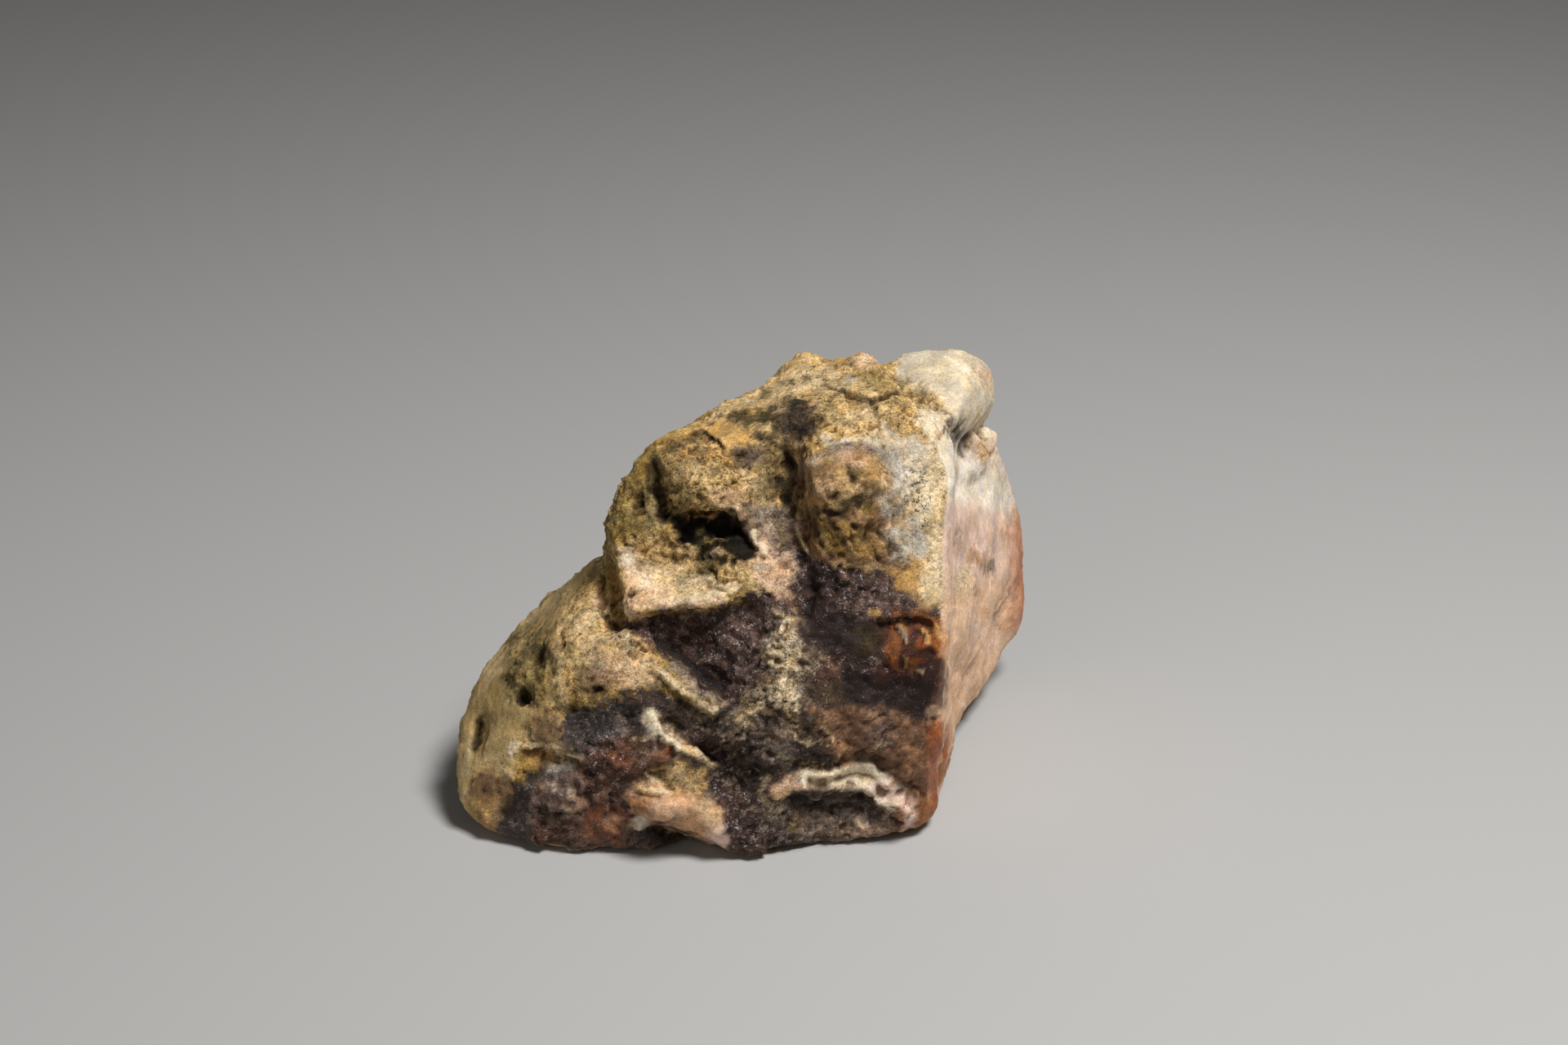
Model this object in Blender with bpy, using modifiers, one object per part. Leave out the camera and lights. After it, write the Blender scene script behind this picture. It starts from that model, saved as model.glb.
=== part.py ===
"""A palm-sized hand sample of silica rock: one broken block of chert with a weathered rind.

The stone is blocked out from a few convex chunks and rounded lumps, fused into one skin. It is then worked
with a small set of carving strokes: swells, ledges, furrows and pits. Last, it is brought down to a moderate
number of facets and cut flat where it rests. Everything is in millimetres until the last step.
+X is the stone's right, +Y its back and +Z up. The finished solid's origin is at the middle of its base.
"""

import math

import bmesh
import bpy
import numpy as np
from mathutils import Matrix, Vector, noise
from mathutils.bvhtree import BVHTree

# ---- driving dimensions, in millimetres --------------------------------------------------------------
NAME = "silica_rock"
MM = 0.001
SKIN_VOXEL = 0.8  # grid of the skin that fuses the chunks
CARVING_VOXEL = 0.7  # grid of the skin that takes the strokes
CORNER_ROUNDING = 14  # smoothing passes over the fused chunks
FACETS = 9900  # triangles before the flat is cut
SINK = 0.8  # how far the blocked-out stone reaches below the ground that cuts it flat
GRAIN_HEIGHT = 0.55  # unevenness of the whole skin
GRAIN_LENGTH = 6.0
STONE_COLOUR = (0.36, 0.27, 0.18, 1.0)
STONE_ROUGHNESS = 0.8

# ---- the board that the broken face is drawn on ------------------------------------------------------
# A stroke on the face is placed as (across, up) on a flat board that stands square to the line from an eye
# to the stone. Each place is carried on along its own line of sight until it meets the stone.
# A place with three numbers is a point in space, and the stone's nearest point stands for it.
EYE_DOWN = math.radians(25.0)
EYE_DISTANCE = 291.0
BOARD_MIDDLE = Vector((4.0, -16.0, 37.9))
MIDDLE_ACROSS = 4.0
MIDDLE_UP = 36.5
SIGHT = Vector((0.0, math.cos(EYE_DOWN), -math.sin(EYE_DOWN)))
BOARD_UP = Vector((0.0, math.sin(EYE_DOWN), math.cos(EYE_DOWN)))
EYE = BOARD_MIDDLE - EYE_DISTANCE * SIGHT

# ---- the blocked-out stone: corners of convex chunks, then lumps as (centre, radii) --------------------
CHUNKS = {
    "main_block": [
        (-12, -24.3, 0.3), (2, -25.3, 0.3), (14, -23.2, 0.3), (21.6, -20, 0.7), (17.5, -21.6, 0.2),
        (-10, -15, -SINK), (9, -16, -SINK), (12, -3, -SINK), (8, 8, -SINK), (-9, 6, -SINK),
        (25, -2, 2), (27, 20, 3), (4, 25, 2.5), (-14, 18, 2.5),
        (-13, -22.5, 18), (-2, -24.5, 17), (8, -26, 18), (21.2, -24, 20), (21.8, -23.5, 26),
        (-14, -20.5, 28.5), (0, -20, 30), (12, -19.5, 31), (21, -19, 32.5), (21, -16, 39),
        (-17, -11, 31.5), (-16, -11, 38), (-13.2, -9.5, 42.8), (-9.6, -7.5, 44.9),
        (-6, -12.5, 44.5), (0, -10.5, 46.3), (8, -9, 49), (14, -8.5, 49.6), (19, -10, 48), (23, -12, 45.3),
        (-1.5, 6, 42.8), (2.5, 7, 46.2), (6, 7, 47.6), (14, 6, 48.5), (22, 9, 45),
        (19, 20, 36), (0, 19, 36), (-13, 8, 33), (27, 21, 20), (2, 25, 20), (-14, 18, 16),
    ],
    "left_lobe": [
        (-30, -22, 0.3), (-32.5, -20.5, 1.2), (-34, -13, 1.4), (-30, 2, 2.5), (-20, 13, 2.5),
        (-8, -24.7, 0.4), (-21, -25.6, 0.2), (-18, -12, -SINK),
        (-34.2, -20, 4.5), (-34.2, -14, 7), (-33.9, -12.5, 11), (-32, -4, 13.5), (-26.8, 0, 18.8),
        (-18.6, -3, 27), (-18, 11, 17), (-10, 14, 24), (-22, -18, 24), (-14.5, -22, 25), (-10, -23, 23),
        (-5, -24.4, 20.5), (-2, -25.2, 17), (-17, -23.6, 20), (-25, -21.5, 13), (-30, -20.5, 8),
        (-18, -15, 28),
    ],
    "rear_bulge": [
        (24, -3, 2.5), (28.5, 11, 2.5), (34.6, 18, 7), (35.2, 19.5, 14.5), (32.9, 20.5, 25.5),
        (30.3, 15.5, 35), (21, -12, 38), (22, -18, 24), (20, 20, 2.5), (28, 25, 16), (18, 26, 26),
        (14, 22, 36), (12, 0, 38),
    ],
    "nose": [
        (5.5, -12, 46.6), (15.5, -11, 48), (5.8, -16.3, 44.6), (10, -19.2, 45.8), (14.8, -18, 44.4),
        (6.8, -19, 39.5), (11.8, -20.8, 40.4), (15.8, -18.2, 39), (8, -20, 34.5), (14, -20, 33),
        (11, -20.2, 31),
    ],
    "top_slab": [
        (16, 8, 46.5), (19, 11, 48.6), (24, 11, 48.6), (28.8, 12, 46.6), (30.6, 14, 41), (29, 16, 36.5),
        (22.8, -9.5, 46.2), (20, -9.5, 44), (26, 2, 47), (18, 17, 42), (16, 0, 42), (12, 4, 40),
    ],
}
LUMPS = {
    "knob": ((-4.5, -11.0, 41.0), (6.5, 4.5, 5.0)),
    "back_knuckle": ((6.4, 6.5, 46.1), (3.8, 4.2, 3.0)),
    "top_knuckle": ((12.6, 4.5, 46.8), (3.6, 4.5, 3.0)),
}

# ---- strokes -----------------------------------------------------------------------------------------
ALL_ROUND = (1.0, 1.0, 1.0)
# name: (place, radius, height, stretch); a hollow has a negative height
BROAD_SWELLS = {
    "scoop_over_shelf": ((-9, 31.8), 7.0, -3.2, (1.3, 1, 0.7)),
    "plum_fracture": ((-4.5, 22), 8.0, -2.4, (1.2, 1, 0.75)),
    "bottom_hollow": ((11, 3.5), 7.5, -1.8, (1.3, 1, 0.7)),
    "glassy_scoop": ((16.5, 17.8), 5.5, -1.5, (1.2, 1, 0.7)),
    "hollow_beside_white_crest": ((-3, 8.5), 4.5, -1.8, ALL_ROUND),
    "knob_belly": ((-4.5, 40.3), 5.0, 1.4, (1.2, 1, 0.9)),
    "saddle_behind_knob": ((-4, 47.4), 4.0, -0.9, ALL_ROUND),
}
# name: (path, drop, reach, lip); the surface drops on the right of the path, seen from outside
LEDGES = {
    "shelf_lip": (
        [(-14.5, 25.8), (-10.5, 26.3), (-8, 26.8), (-5, 26.9), (-2.5, 27.2), (0.5, 28.4), (2.5, 29.2)],
        2.3, 6, 0.7,
    ),
    "upper_diagonal": ([(-1.5, 15.2), (-5, 18.2), (-9, 22), (-12.5, 24.2)], 1.8, 5, 0.5),
    "cream_diagonal": ([(-11.5, 18), (-8.5, 18.4), (-5.5, 16.2), (-2, 15)], 1.8, 4, 0.4),
    "rind_edge": ([(-21.5, 16.3), (-18, 16.6), (-14, 15.8), (-10.5, 15.6)], 1.2, 4.5, 0),
    "white_crest": ([(-3.6, 9.2), (-5.5, 10.6), (-8, 12), (-9.9, 13.2), (-10.4, 15)], 1.8, 4, 0.6),
    "scallop_rim": ([(-26, 10.3), (-23.5, 11.6), (-21.5, 11.4), (-20.3, 10.6), (-18.3, 10)], 1.3, 4, 0.4),
    "cream_arc": (
        [(3.2, 6.3), (5, 7.7), (8, 7.8), (11, 8.1), (13, 8.9), (14.3, 7.6), (15.5, 6.3), (17, 5.8),
         (18.2, 4.5), (18.2, 2.8), (17.4, 1.2)],
        2.0, 4.5, 0.8,
    ),
    "chipped_corner": ([(14, 25.6), (17, 26), (19.5, 25.8), (21.3, 24.5)], 1.2, 5, 0.3),
    "plate_on_knob": ([(-5.2, 46.8), (-3.2, 45.2), (-1.8, 44.7), (1, 45.2)], 0.8, 3, 0),
    "under_peach_lobe": ([(-13, 3.6), (-9, 2.6), (-6, 1.0), (-3.5, 0.2)], 2.2, 3.5, 0),
    "back_step": ([(-16, 13, 22), (-6, 20, 27), (5, 24, 25), (14, 26, 29), (21, 23, 33)], 1.7, 8, 0.5),
    "low_back_step": ([(29, 23, 9), (20, 26, 13), (9, 26, 9), (1, 25, 7)], 1.5, 6, 0.4),
    "left_back_step": ([(-30, 1, 12), (-24, 8, 17), (-17, 11, 20)], 1.4, 6, 0),
    "under_top_slab": ([(24, -6, 40), (28, 2, 36), (30, 12, 33)], 1.2, 5, 0),
    "right_side_step": ([(27, -8, 9), (29, 2, 15), (32, 10, 14), (34, 17, 19)], 1.2, 6, 0.4),
}
# name: (path, width, depth); a ridge has a negative depth
FURROWS = {
    "valley_left_of_block": ([(-16.2, 33), (-15.7, 29.5), (-15.3, 26.5), (-13, 24.5)], 3.0, 2.4),
    "valley_knob_to_nose": ([(4.3, 46), (4.0, 42), (4.3, 38), (5.0, 34)], 3.2, 2.6),
    "peach_lobe": ([(-13.5, 6), (-8, 5), (-4, 3.2), (0, 1.0)], 3.2, -2.2),
    "knob_flute": ([(-10.7, 43.2), (-10.4, 40.5), (-9.6, 38.5), (-9.3, 36.2)], 1.5, 2.0),
    "knob_side_flute": ([(-12.8, 40), (-12.2, 38.4), (-11.7, 37.4)], 1.5, 1.6),
    "nose_crack": ([(10.8, 42.6), (11.8, 41), (12.8, 39.4)], 1.3, 1.6),
    "nose_flute_long": ([(10.2, 37.6), (12.2, 36), (13.6, 33.8)], 1.4, 1.3),
    "nose_flute_left": ([(7.6, 37.6), (8.6, 35), (10, 32)], 1.3, 1.0),
    "nose_flute_right": ([(13.2, 37.4), (15, 34.6)], 1.2, 0.9),
    "thin_ridge": ([(5.2, 36.4), (5.8, 34.4), (7.1, 32.2)], 1.0, -0.9),
    "top_crack": ([(10.6, 51.2), (12.5, 50.3), (14.4, 50.2), (16.5, 50.9)], 1.1, 1.3),
    "top_gully": ([(15.7, 53.8), (18, 51.6), (21.5, 49.6)], 2.4, 1.6),
    "left_flank_slot": ([(-29.9, 14.6), (-30, 12.5), (-30.4, 10.6)], 1.3, 2.6),
    "back_gully_left": ([(-4, 12, 42), (0, 18, 37), (-1, 22, 30)], 2.6, 1.5),
    "back_gully_right": ([(14, 16, 44), (13, 22, 36), (16, 25, 29)], 2.4, 1.3),
}
# name: (place, radius, height, stretch)
SMALL_SWELLS = {
    "pink_nub": ((-12.2, 3), 1.6, 1.2, ALL_ROUND),
    "pink_bump": ((-21.5, 5.6), 2.6, 0.9, ALL_ROUND),
    "red_brown_bump": ((-16, 9.5), 3.0, 0.8, ALL_ROUND),
    "yellow_bump": ((-29, 3.6), 2.2, 0.7, ALL_ROUND),
    "nose_boss": ((9, 40.2), 2.6, 0.7, ALL_ROUND),
    "nose_chip": ((14, 41.3), 1.8, 0.8, ALL_ROUND),
    "side_nub": ((25.6, 44.4), 2.8, 1.2, ALL_ROUND),
    "back_hollow": ((2, 24, 28), 11.0, -2.6, (1.2, 1, 0.8)),
    "left_back_hollow": ((-14, 15, 24), 8.0, -1.6, ALL_ROUND),
    "low_back_bulge": ((-8, 16, 8), 8.0, 1.2, ALL_ROUND),
    "right_back_hollow": ((20, 25, 12), 8.0, -1.6, ALL_ROUND),
    "right_side_hollow": ((31, 8, 12), 8.0, -1.4, (1, 1.2, 1)),
}
# name: (place, radius, depth, stretch, way); way is the direction to sink in, or None for straight in
PITS = {
    "cavity_left": ((-5, 35.9), 3.0, 5.0, (1.3, 1.6, 0.6), (0.1, 0.9, 0.3)),
    "cavity_right": ((-0.9, 34.2), 2.6, 4.5, (1.2, 1.6, 0.6), (0, 0.9, 0.3)),
    "under_top_slab": ((23.4, 46.4), 1.5, 1.5, ALL_ROUND, None),
    "side_dimple": ((27, 31.5), 1.5, 1.0, ALL_ROUND, None),
    "corner_notch": ((20.9, 14.4), 1.5, 1.3, ALL_ROUND, None),
    "flank_hole": ((-24.9, 17.2), 1.4, 2.4, ALL_ROUND, None),
    "flank_hollow": ((-23.7, 21.9), 2.4, 1.4, (0.8, 1, 1.2), None),
    "rind_pit": ((-16.7, 17.6), 1.0, 1.2, ALL_ROUND, None),
    "left_back_pit": ((-12, 12, 32), 1.8, 1.8, ALL_ROUND, None),
    "back_pit": ((8, 25, 17), 2.0, 1.8, ALL_ROUND, None),
    "low_left_pit": ((-24, 8, 9), 1.6, 1.6, ALL_ROUND, None),
    "right_back_pit": ((26, 22, 24), 1.7, 1.4, ALL_ROUND, None),
}
TOOTH = ((0.9, 34.8), 1.6, 1.8, (0.8, 1.2, 1.5), (0, -1, -0.2))  # the pointed tip beside the cavity


# ---- meshes ------------------------------------------------------------------------------------------
def clear_scene():
    for obj in list(bpy.data.objects):
        bpy.data.objects.remove(obj)


def hull_of(corners, into):
    """Add the convex hull of the corners to the bmesh."""
    fresh = bmesh.new()
    for corner in corners:
        fresh.verts.new(corner)
    made = bmesh.ops.convex_hull(fresh, input=fresh.verts)
    spare = [v for v in made["geom_interior"] if isinstance(v, bmesh.types.BMVert)]
    bmesh.ops.delete(fresh, geom=spare, context="VERTS")
    bmesh.ops.recalc_face_normals(fresh, faces=fresh.faces)
    append(fresh, into)


def ellipsoid(centre, radii, into):
    """Add a rounded lump to the bmesh."""
    fresh = bmesh.new()
    place = Matrix.Translation(centre) @ Matrix.Diagonal((*radii, 1.0))
    bmesh.ops.create_icosphere(fresh, subdivisions=4, radius=1.0, matrix=place)
    append(fresh, into)


def append(fresh, into):
    mesh = bpy.data.meshes.new("piece")
    fresh.to_mesh(mesh)
    fresh.free()
    into.from_mesh(mesh)
    bpy.data.meshes.remove(mesh)


def evaluated(obj):
    """Replace the object's mesh by the one that its modifiers make."""
    graph = bpy.context.evaluated_depsgraph_get()
    mesh = bpy.data.meshes.new_from_object(obj.evaluated_get(graph))
    obj.modifiers.clear()
    old = obj.data
    obj.data = mesh
    bpy.data.meshes.remove(old)


def reskin(obj, voxel):
    """One closed skin of even quads over everything in the mesh."""
    remesh = obj.modifiers.new("skin", "REMESH")
    remesh.mode = "VOXEL"
    remesh.voxel_size = voxel
    evaluated(obj)


def soften(obj, passes):
    smooth = obj.modifiers.new("soften", "SMOOTH")
    smooth.factor = 0.5
    smooth.iterations = passes
    evaluated(obj)


def facet(obj, triangles):
    """Bring the mesh down to about this many triangles, which gather where the surface bends."""
    obj.data.calc_loop_triangles()
    decimate = obj.modifiers.new("facet", "DECIMATE")
    decimate.ratio = triangles / len(obj.data.loop_triangles)
    decimate.use_collapse_triangulate = True
    evaluated(obj)


# ---- carving -----------------------------------------------------------------------------------------
def fall(distance):
    """1 at the middle of a stroke, falling smoothly to 0 at distance 1."""
    return np.clip(1.0 - distance**2, 0.0, 1.0) ** 2


def ramp(value, low, high):
    share = np.clip((value - low) / (high - low), 0.0, 1.0)
    return share * share * (3.0 - 2.0 * share)


def unit(way):
    return np.array(way) / np.linalg.norm(way)


class Carver:
    """Moves the points of one mesh by strokes. Places are found on the stone as it was at the last look."""

    def __init__(self, obj):
        self.mesh = obj.data
        self.points = np.empty(len(self.mesh.vertices) * 3)
        self.mesh.vertices.foreach_get("co", self.points)
        self.points = self.points.reshape(-1, 3)
        self.measure()
        self.look()

    def measure(self):
        """Write the points to the mesh, and read its normals again."""
        self.mesh.vertices.foreach_set("co", self.points.ravel())
        self.mesh.update()
        normals = np.empty(len(self.points) * 3)
        self.mesh.vertex_normals.foreach_get("vector", normals)
        self.normals = normals.reshape(-1, 3)

    def look(self):
        """Take the stone as it is now for finding places on it."""
        seen = bmesh.new()
        seen.from_mesh(self.mesh)
        self.tree = BVHTree.FromBMesh(seen)
        seen.free()

    def drawn(self, across, up):
        """The place on the stone under (across, up) on the board, with the normal there."""
        on_board = BOARD_MIDDLE + Vector((across - MIDDLE_ACROSS, 0, 0)) + (up - MIDDLE_UP) * BOARD_UP
        hit, normal, _, _ = self.tree.ray_cast(EYE, (on_board - EYE).normalized())
        if hit is None:
            hit, normal, _, _ = self.tree.find_nearest(on_board)
        return np.array(hit), np.array(normal)

    def spot(self, place):
        """A place given on the board, or as a point in space that the stone's nearest point stands for."""
        if len(place) == 2:
            return self.drawn(*place)
        hit, normal, _, _ = self.tree.find_nearest(Vector(place))
        return np.array(hit), np.array(normal)

    def outward(self, centre, normal, radius):
        """The mean way out of the skin within a radius, or the normal where no point is that near."""
        near = np.linalg.norm(self.points - centre, axis=1) < radius
        total = self.normals[near].sum(axis=0) if near.any() else normal
        return total / np.linalg.norm(total)

    def swell(self, place, radius, height, stretch=ALL_ROUND, way=None):
        """Raise a rounded lump, or sink a bowl where height is negative."""
        centre, normal = self.spot(place)
        way = self.outward(centre, normal, 0.5 * radius) if way is None else unit(way)
        away = (self.points - centre) / (radius * np.array(stretch))
        self.points += np.outer(height * fall(np.linalg.norm(away, axis=1)), way)
        self.measure()

    def pit(self, place, radius, depth, stretch=ALL_ROUND, way=None):
        """Sink a steep-walled hole."""
        centre, normal = self.spot(place)
        way = -normal if way is None else unit(way)
        away = np.linalg.norm((self.points - centre) / (radius * np.array(stretch)), axis=1)
        self.points += np.outer(depth * (1.0 - ramp(away, 0.45, 1.0)), way)
        self.measure()

    def trace(self, path):
        """For each point: its distance from the path, the side it lies on (positive is the right-hand side
        of the path, seen from outside), and how far along the path it is, from 0 to 1."""
        spots = [self.spot(place) for place in path]
        knots = np.array([spot for spot, _ in spots])
        lengths = np.linalg.norm(np.diff(knots, axis=0), axis=1)
        run = np.concatenate([[0.0], np.cumsum(lengths)]) / lengths.sum()
        best = np.full(len(self.points), np.inf)
        side = np.zeros(len(self.points))
        share = np.zeros(len(self.points))
        for i, length in enumerate(lengths):
            step = (knots[i + 1] - knots[i]) / length
            outward = spots[i][1] + spots[i + 1][1]
            rightward = np.cross(step, outward / np.linalg.norm(outward))
            along = np.clip((self.points - knots[i]) @ step, 0.0, length)
            apart = self.points - (knots[i] + np.outer(along, step))
            distance = np.linalg.norm(apart, axis=1)
            closer = distance < best
            best[closer] = distance[closer]
            side[closer] = (apart @ rightward)[closer]
            share[closer] = (run[i] + along / length * (run[i + 1] - run[i]))[closer]
        return best, side, share

    def furrow(self, path, width, depth):
        """A furrow along the path, or a ridge where depth is negative."""
        distance, _, share = self.trace(path)
        taper = ramp(share, -0.01, 0.2) * (1.0 - ramp(share, 0.8, 1.01))
        self.points -= self.normals * (depth * fall(distance / width) * (0.35 + 0.65 * taper))[:, None]
        self.measure()

    def ledge(self, path, drop, reach, lip=0.0, edge=1.0):
        """A step along the path: the surface drops on its right-hand side and comes back within reach."""
        distance, side, share = self.trace(path)
        ends = ramp(share, -0.01, 0.15) * (1.0 - ramp(share, 0.78, 1.01))
        beside = np.abs(side) > 0.6 * distance
        sunk = ramp(side, -0.3 * edge, 0.7 * edge) * fall(np.clip(distance / reach, 0.0, 1.0))
        raised = lip * fall(distance / (1.6 * edge)) * (side < 0.5 * edge)
        move = (raised - drop * sunk * (beside | (distance < edge))) * ends
        self.points += self.normals * move[:, None]
        self.measure()

    def roughen(self, height, wavelength):
        """Natural unevenness over the whole skin."""
        waves = [noise.fractal(Vector(p) / wavelength, 0.8, 2.1, 3) for p in self.points]
        self.points += self.normals * (height * np.array(waves))[:, None]
        self.measure()


# ---- the stone ---------------------------------------------------------------------------------------
def block_out():
    """The chunks and lumps, fused into one rounded skin."""
    rough = bmesh.new()
    for corners in CHUNKS.values():
        hull_of(corners, rough)
    for centre, radii in LUMPS.values():
        ellipsoid(centre, radii, rough)
    mesh = bpy.data.meshes.new(NAME)
    rough.to_mesh(mesh)
    rough.free()
    stone = bpy.data.objects.new(NAME, mesh)
    collection = bpy.data.collections.new(NAME)
    bpy.context.scene.collection.children.link(collection)
    collection.objects.link(stone)
    reskin(stone, SKIN_VOXEL)
    soften(stone, CORNER_ROUNDING)
    reskin(stone, CARVING_VOXEL)
    return stone


def carve(stone):
    """Every named stroke, from the broadest to the smallest."""
    carver = Carver(stone)
    for place, radius, height, stretch in BROAD_SWELLS.values():
        carver.swell(place, radius, height, stretch)
    carver.look()
    for path, drop, reach, lip in LEDGES.values():
        carver.ledge(path, drop, reach, lip)
    carver.look()
    for path, width, depth in FURROWS.values():
        carver.furrow(path, width, depth)
    for place, radius, height, stretch in SMALL_SWELLS.values():
        carver.swell(place, radius, height, stretch)
    carver.look()
    for place, radius, depth, stretch, way in PITS.values():
        carver.pit(place, radius, depth, stretch, way)
    carver.swell(*TOOTH)


def cut_flat(obj):
    """Take off what is below the ground, and close the cut."""
    work = bmesh.new()
    work.from_mesh(obj.data)
    everything = work.verts[:] + work.edges[:] + work.faces[:]
    cut = bmesh.ops.bisect_plane(
        work, geom=everything, dist=1e-4, plane_co=(0, 0, 0), plane_no=(0, 0, -1), clear_outer=True
    )
    rim = [e for e in cut["geom_cut"] if isinstance(e, bmesh.types.BMEdge)]
    bmesh.ops.triangle_fill(work, use_beauty=True, edges=rim, normal=(0, 0, -1))
    bmesh.ops.dissolve_degenerate(work, dist=1e-3, edges=work.edges)
    bmesh.ops.triangulate(work, faces=[f for f in work.faces if len(f.verts) > 3])
    bmesh.ops.recalc_face_normals(work, faces=work.faces)
    work.to_mesh(obj.data)
    work.free()


def stand_on_origin(obj):
    """Move the mesh so that the middle of its base is at the origin, and turn millimetres into metres."""
    corners = [Vector(corner) for corner in obj.bound_box]
    middle = sum(corners, Vector()) / len(corners)
    print("middle of the base before the move, in mm:", round(middle.x, 3), round(middle.y, 3))
    obj.data.transform(Matrix.Scale(MM, 4) @ Matrix.Translation((-middle.x, -middle.y, 0.0)))


def stone_material():
    material = bpy.data.materials.new("silica_stone")
    material.use_nodes = True
    shader = material.node_tree.nodes["Principled BSDF"]
    shader.inputs["Base Color"].default_value = STONE_COLOUR
    shader.inputs["Roughness"].default_value = STONE_ROUGHNESS
    shader.inputs["Metallic"].default_value = 0.0
    return material


def main():
    clear_scene()
    stone = block_out()
    carve(stone)
    reskin(stone, CARVING_VOXEL)
    Carver(stone).roughen(GRAIN_HEIGHT, GRAIN_LENGTH)
    facet(stone, FACETS)
    cut_flat(stone)
    stand_on_origin(stone)
    stone.data.materials.append(stone_material())


if __name__ == "__main__":
    main()
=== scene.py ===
# %% [markdown]
# # A hand sample of silica rock
# This lesson dresses one broken block of chert. The plain solid that comes with it has the right size and the
# main forms. Here it gets the fine surface: crumbly rind, sharp broken edges, sugary fracture and coloured
# silica. The whole stone is one mesh, because the real one is a single piece, and each step works on it a
# little more finely than the one before.

# %% Load the plain solid
import math

import bmesh
import bpy
import numpy as np
from mathutils import Matrix, Vector, noise
from mathutils.bvhtree import BVHTree


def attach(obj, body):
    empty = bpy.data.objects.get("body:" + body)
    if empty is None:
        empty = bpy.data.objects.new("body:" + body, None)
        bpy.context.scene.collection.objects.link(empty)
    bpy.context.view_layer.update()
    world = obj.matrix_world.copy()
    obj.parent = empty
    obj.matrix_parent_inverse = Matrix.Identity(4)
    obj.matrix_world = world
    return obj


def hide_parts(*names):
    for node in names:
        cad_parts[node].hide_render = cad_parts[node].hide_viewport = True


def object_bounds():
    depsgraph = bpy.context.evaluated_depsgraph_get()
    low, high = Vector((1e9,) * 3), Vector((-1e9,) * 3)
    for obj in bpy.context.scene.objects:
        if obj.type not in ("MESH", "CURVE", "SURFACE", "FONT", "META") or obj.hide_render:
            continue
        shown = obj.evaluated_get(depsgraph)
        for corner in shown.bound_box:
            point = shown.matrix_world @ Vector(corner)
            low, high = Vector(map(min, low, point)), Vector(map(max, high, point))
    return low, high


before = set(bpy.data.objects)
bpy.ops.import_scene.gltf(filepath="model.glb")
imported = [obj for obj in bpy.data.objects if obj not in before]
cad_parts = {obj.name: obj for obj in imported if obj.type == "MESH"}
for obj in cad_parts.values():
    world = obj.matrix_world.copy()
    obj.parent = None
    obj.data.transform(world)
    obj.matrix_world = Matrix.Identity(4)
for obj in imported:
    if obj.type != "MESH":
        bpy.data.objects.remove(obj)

cad_box = [list(corner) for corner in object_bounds()]
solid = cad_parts["silica_rock"]
print("nodes:", sorted(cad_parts), "box in metres:", cad_box)

# %% [markdown]
# ## An eye and a board
# A stone has no straight edge to measure from. Small features are easiest to place on a drawing board held
# square to the line of sight. A place on it is (across, up) in millimetres, with up = 0 at the foot of the
# stone. Each place is carried on from the eye, through the board, until it meets the stone. Points in space
# would work too, but then every one needs a depth that nobody can see. The camera stands at the same eye.

# %% The eye, the board and the camera
MM = 0.001
EYE_DOWN = math.radians(25.0)
EYE_DISTANCE = 291.0
BOARD_MIDDLE = Vector((3.82, -14.92, 37.9))
MIDDLE_ACROSS = 4.0
MIDDLE_UP = 36.5
LENS = 60.0
SIGHT = Vector((0.0, math.cos(EYE_DOWN), -math.sin(EYE_DOWN)))
BOARD_UP = Vector((0.0, math.sin(EYE_DOWN), math.cos(EYE_DOWN)))
EYE = BOARD_MIDDLE - EYE_DISTANCE * SIGHT

camera = bpy.data.objects.new("camera", bpy.data.cameras.new("camera"))
bpy.context.scene.collection.objects.link(camera)
camera.location = EYE * MM
camera.rotation_euler = SIGHT.to_track_quat("-Z", "Y").to_euler()
camera.data.lens = LENS
camera.data.clip_start = 0.01
bpy.context.scene.camera = camera
print("eye in mm:", [round(v, 1) for v in EYE])

# %% [markdown]
# ## A fine skin
# The plain solid has facets of about a millimetre. A voxel remesh lays a new skin of even squares over it,
# and smoothing takes its corners off. The broken face carries the small detail, so its squares are halved
# once more, while the back keeps larger ones. One mesh of this kind stays light enough to move about.

# %% Lay the skin
SKIN_VOXEL = 0.62
SKIN_SMOOTHING = 5


def with_modifiers_applied(obj):
    graph = bpy.context.evaluated_depsgraph_get()
    made = bpy.data.meshes.new_from_object(obj.evaluated_get(graph))
    obj.modifiers.clear()
    obj.data = made


mesh = solid.data.copy()
mesh.transform(Matrix.Scale(1 / MM, 4))
mesh.materials.clear()
stone = bpy.data.objects.new("silica_stone_skin", mesh)
bpy.context.scene.collection.objects.link(stone)
work = bmesh.new()
work.from_mesh(mesh)
bmesh.ops.remove_doubles(work, verts=work.verts, dist=0.002)
work.to_mesh(mesh)
work.free()
skin = stone.modifiers.new("skin", "REMESH")
skin.mode = "VOXEL"
skin.voxel_size = SKIN_VOXEL
soften = stone.modifiers.new("soften", "SMOOTH")
soften.factor = 0.5
soften.iterations = SKIN_SMOOTHING
with_modifiers_applied(stone)
print("skin:", len(stone.data.polygons), "squares")

# %% Halve the squares that face the eye
FACING_ENOUGH = 0.06

work = bmesh.new()
work.from_mesh(stone.data)
facing = [
    face for face in work.faces
    if face.normal.dot((EYE - face.calc_center_median()).normalized()) > FACING_ENOUGH
]
edges = list({edge for face in facing for edge in face.edges})
bmesh.ops.subdivide_edges(work, edges=edges, cuts=1, use_grid_fill=True)
work.to_mesh(stone.data)
work.free()
stone.data.calc_loop_triangles()
print("refined:", len(stone.data.vertices), "points,", len(stone.data.loop_triangles), "triangles")

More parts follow.
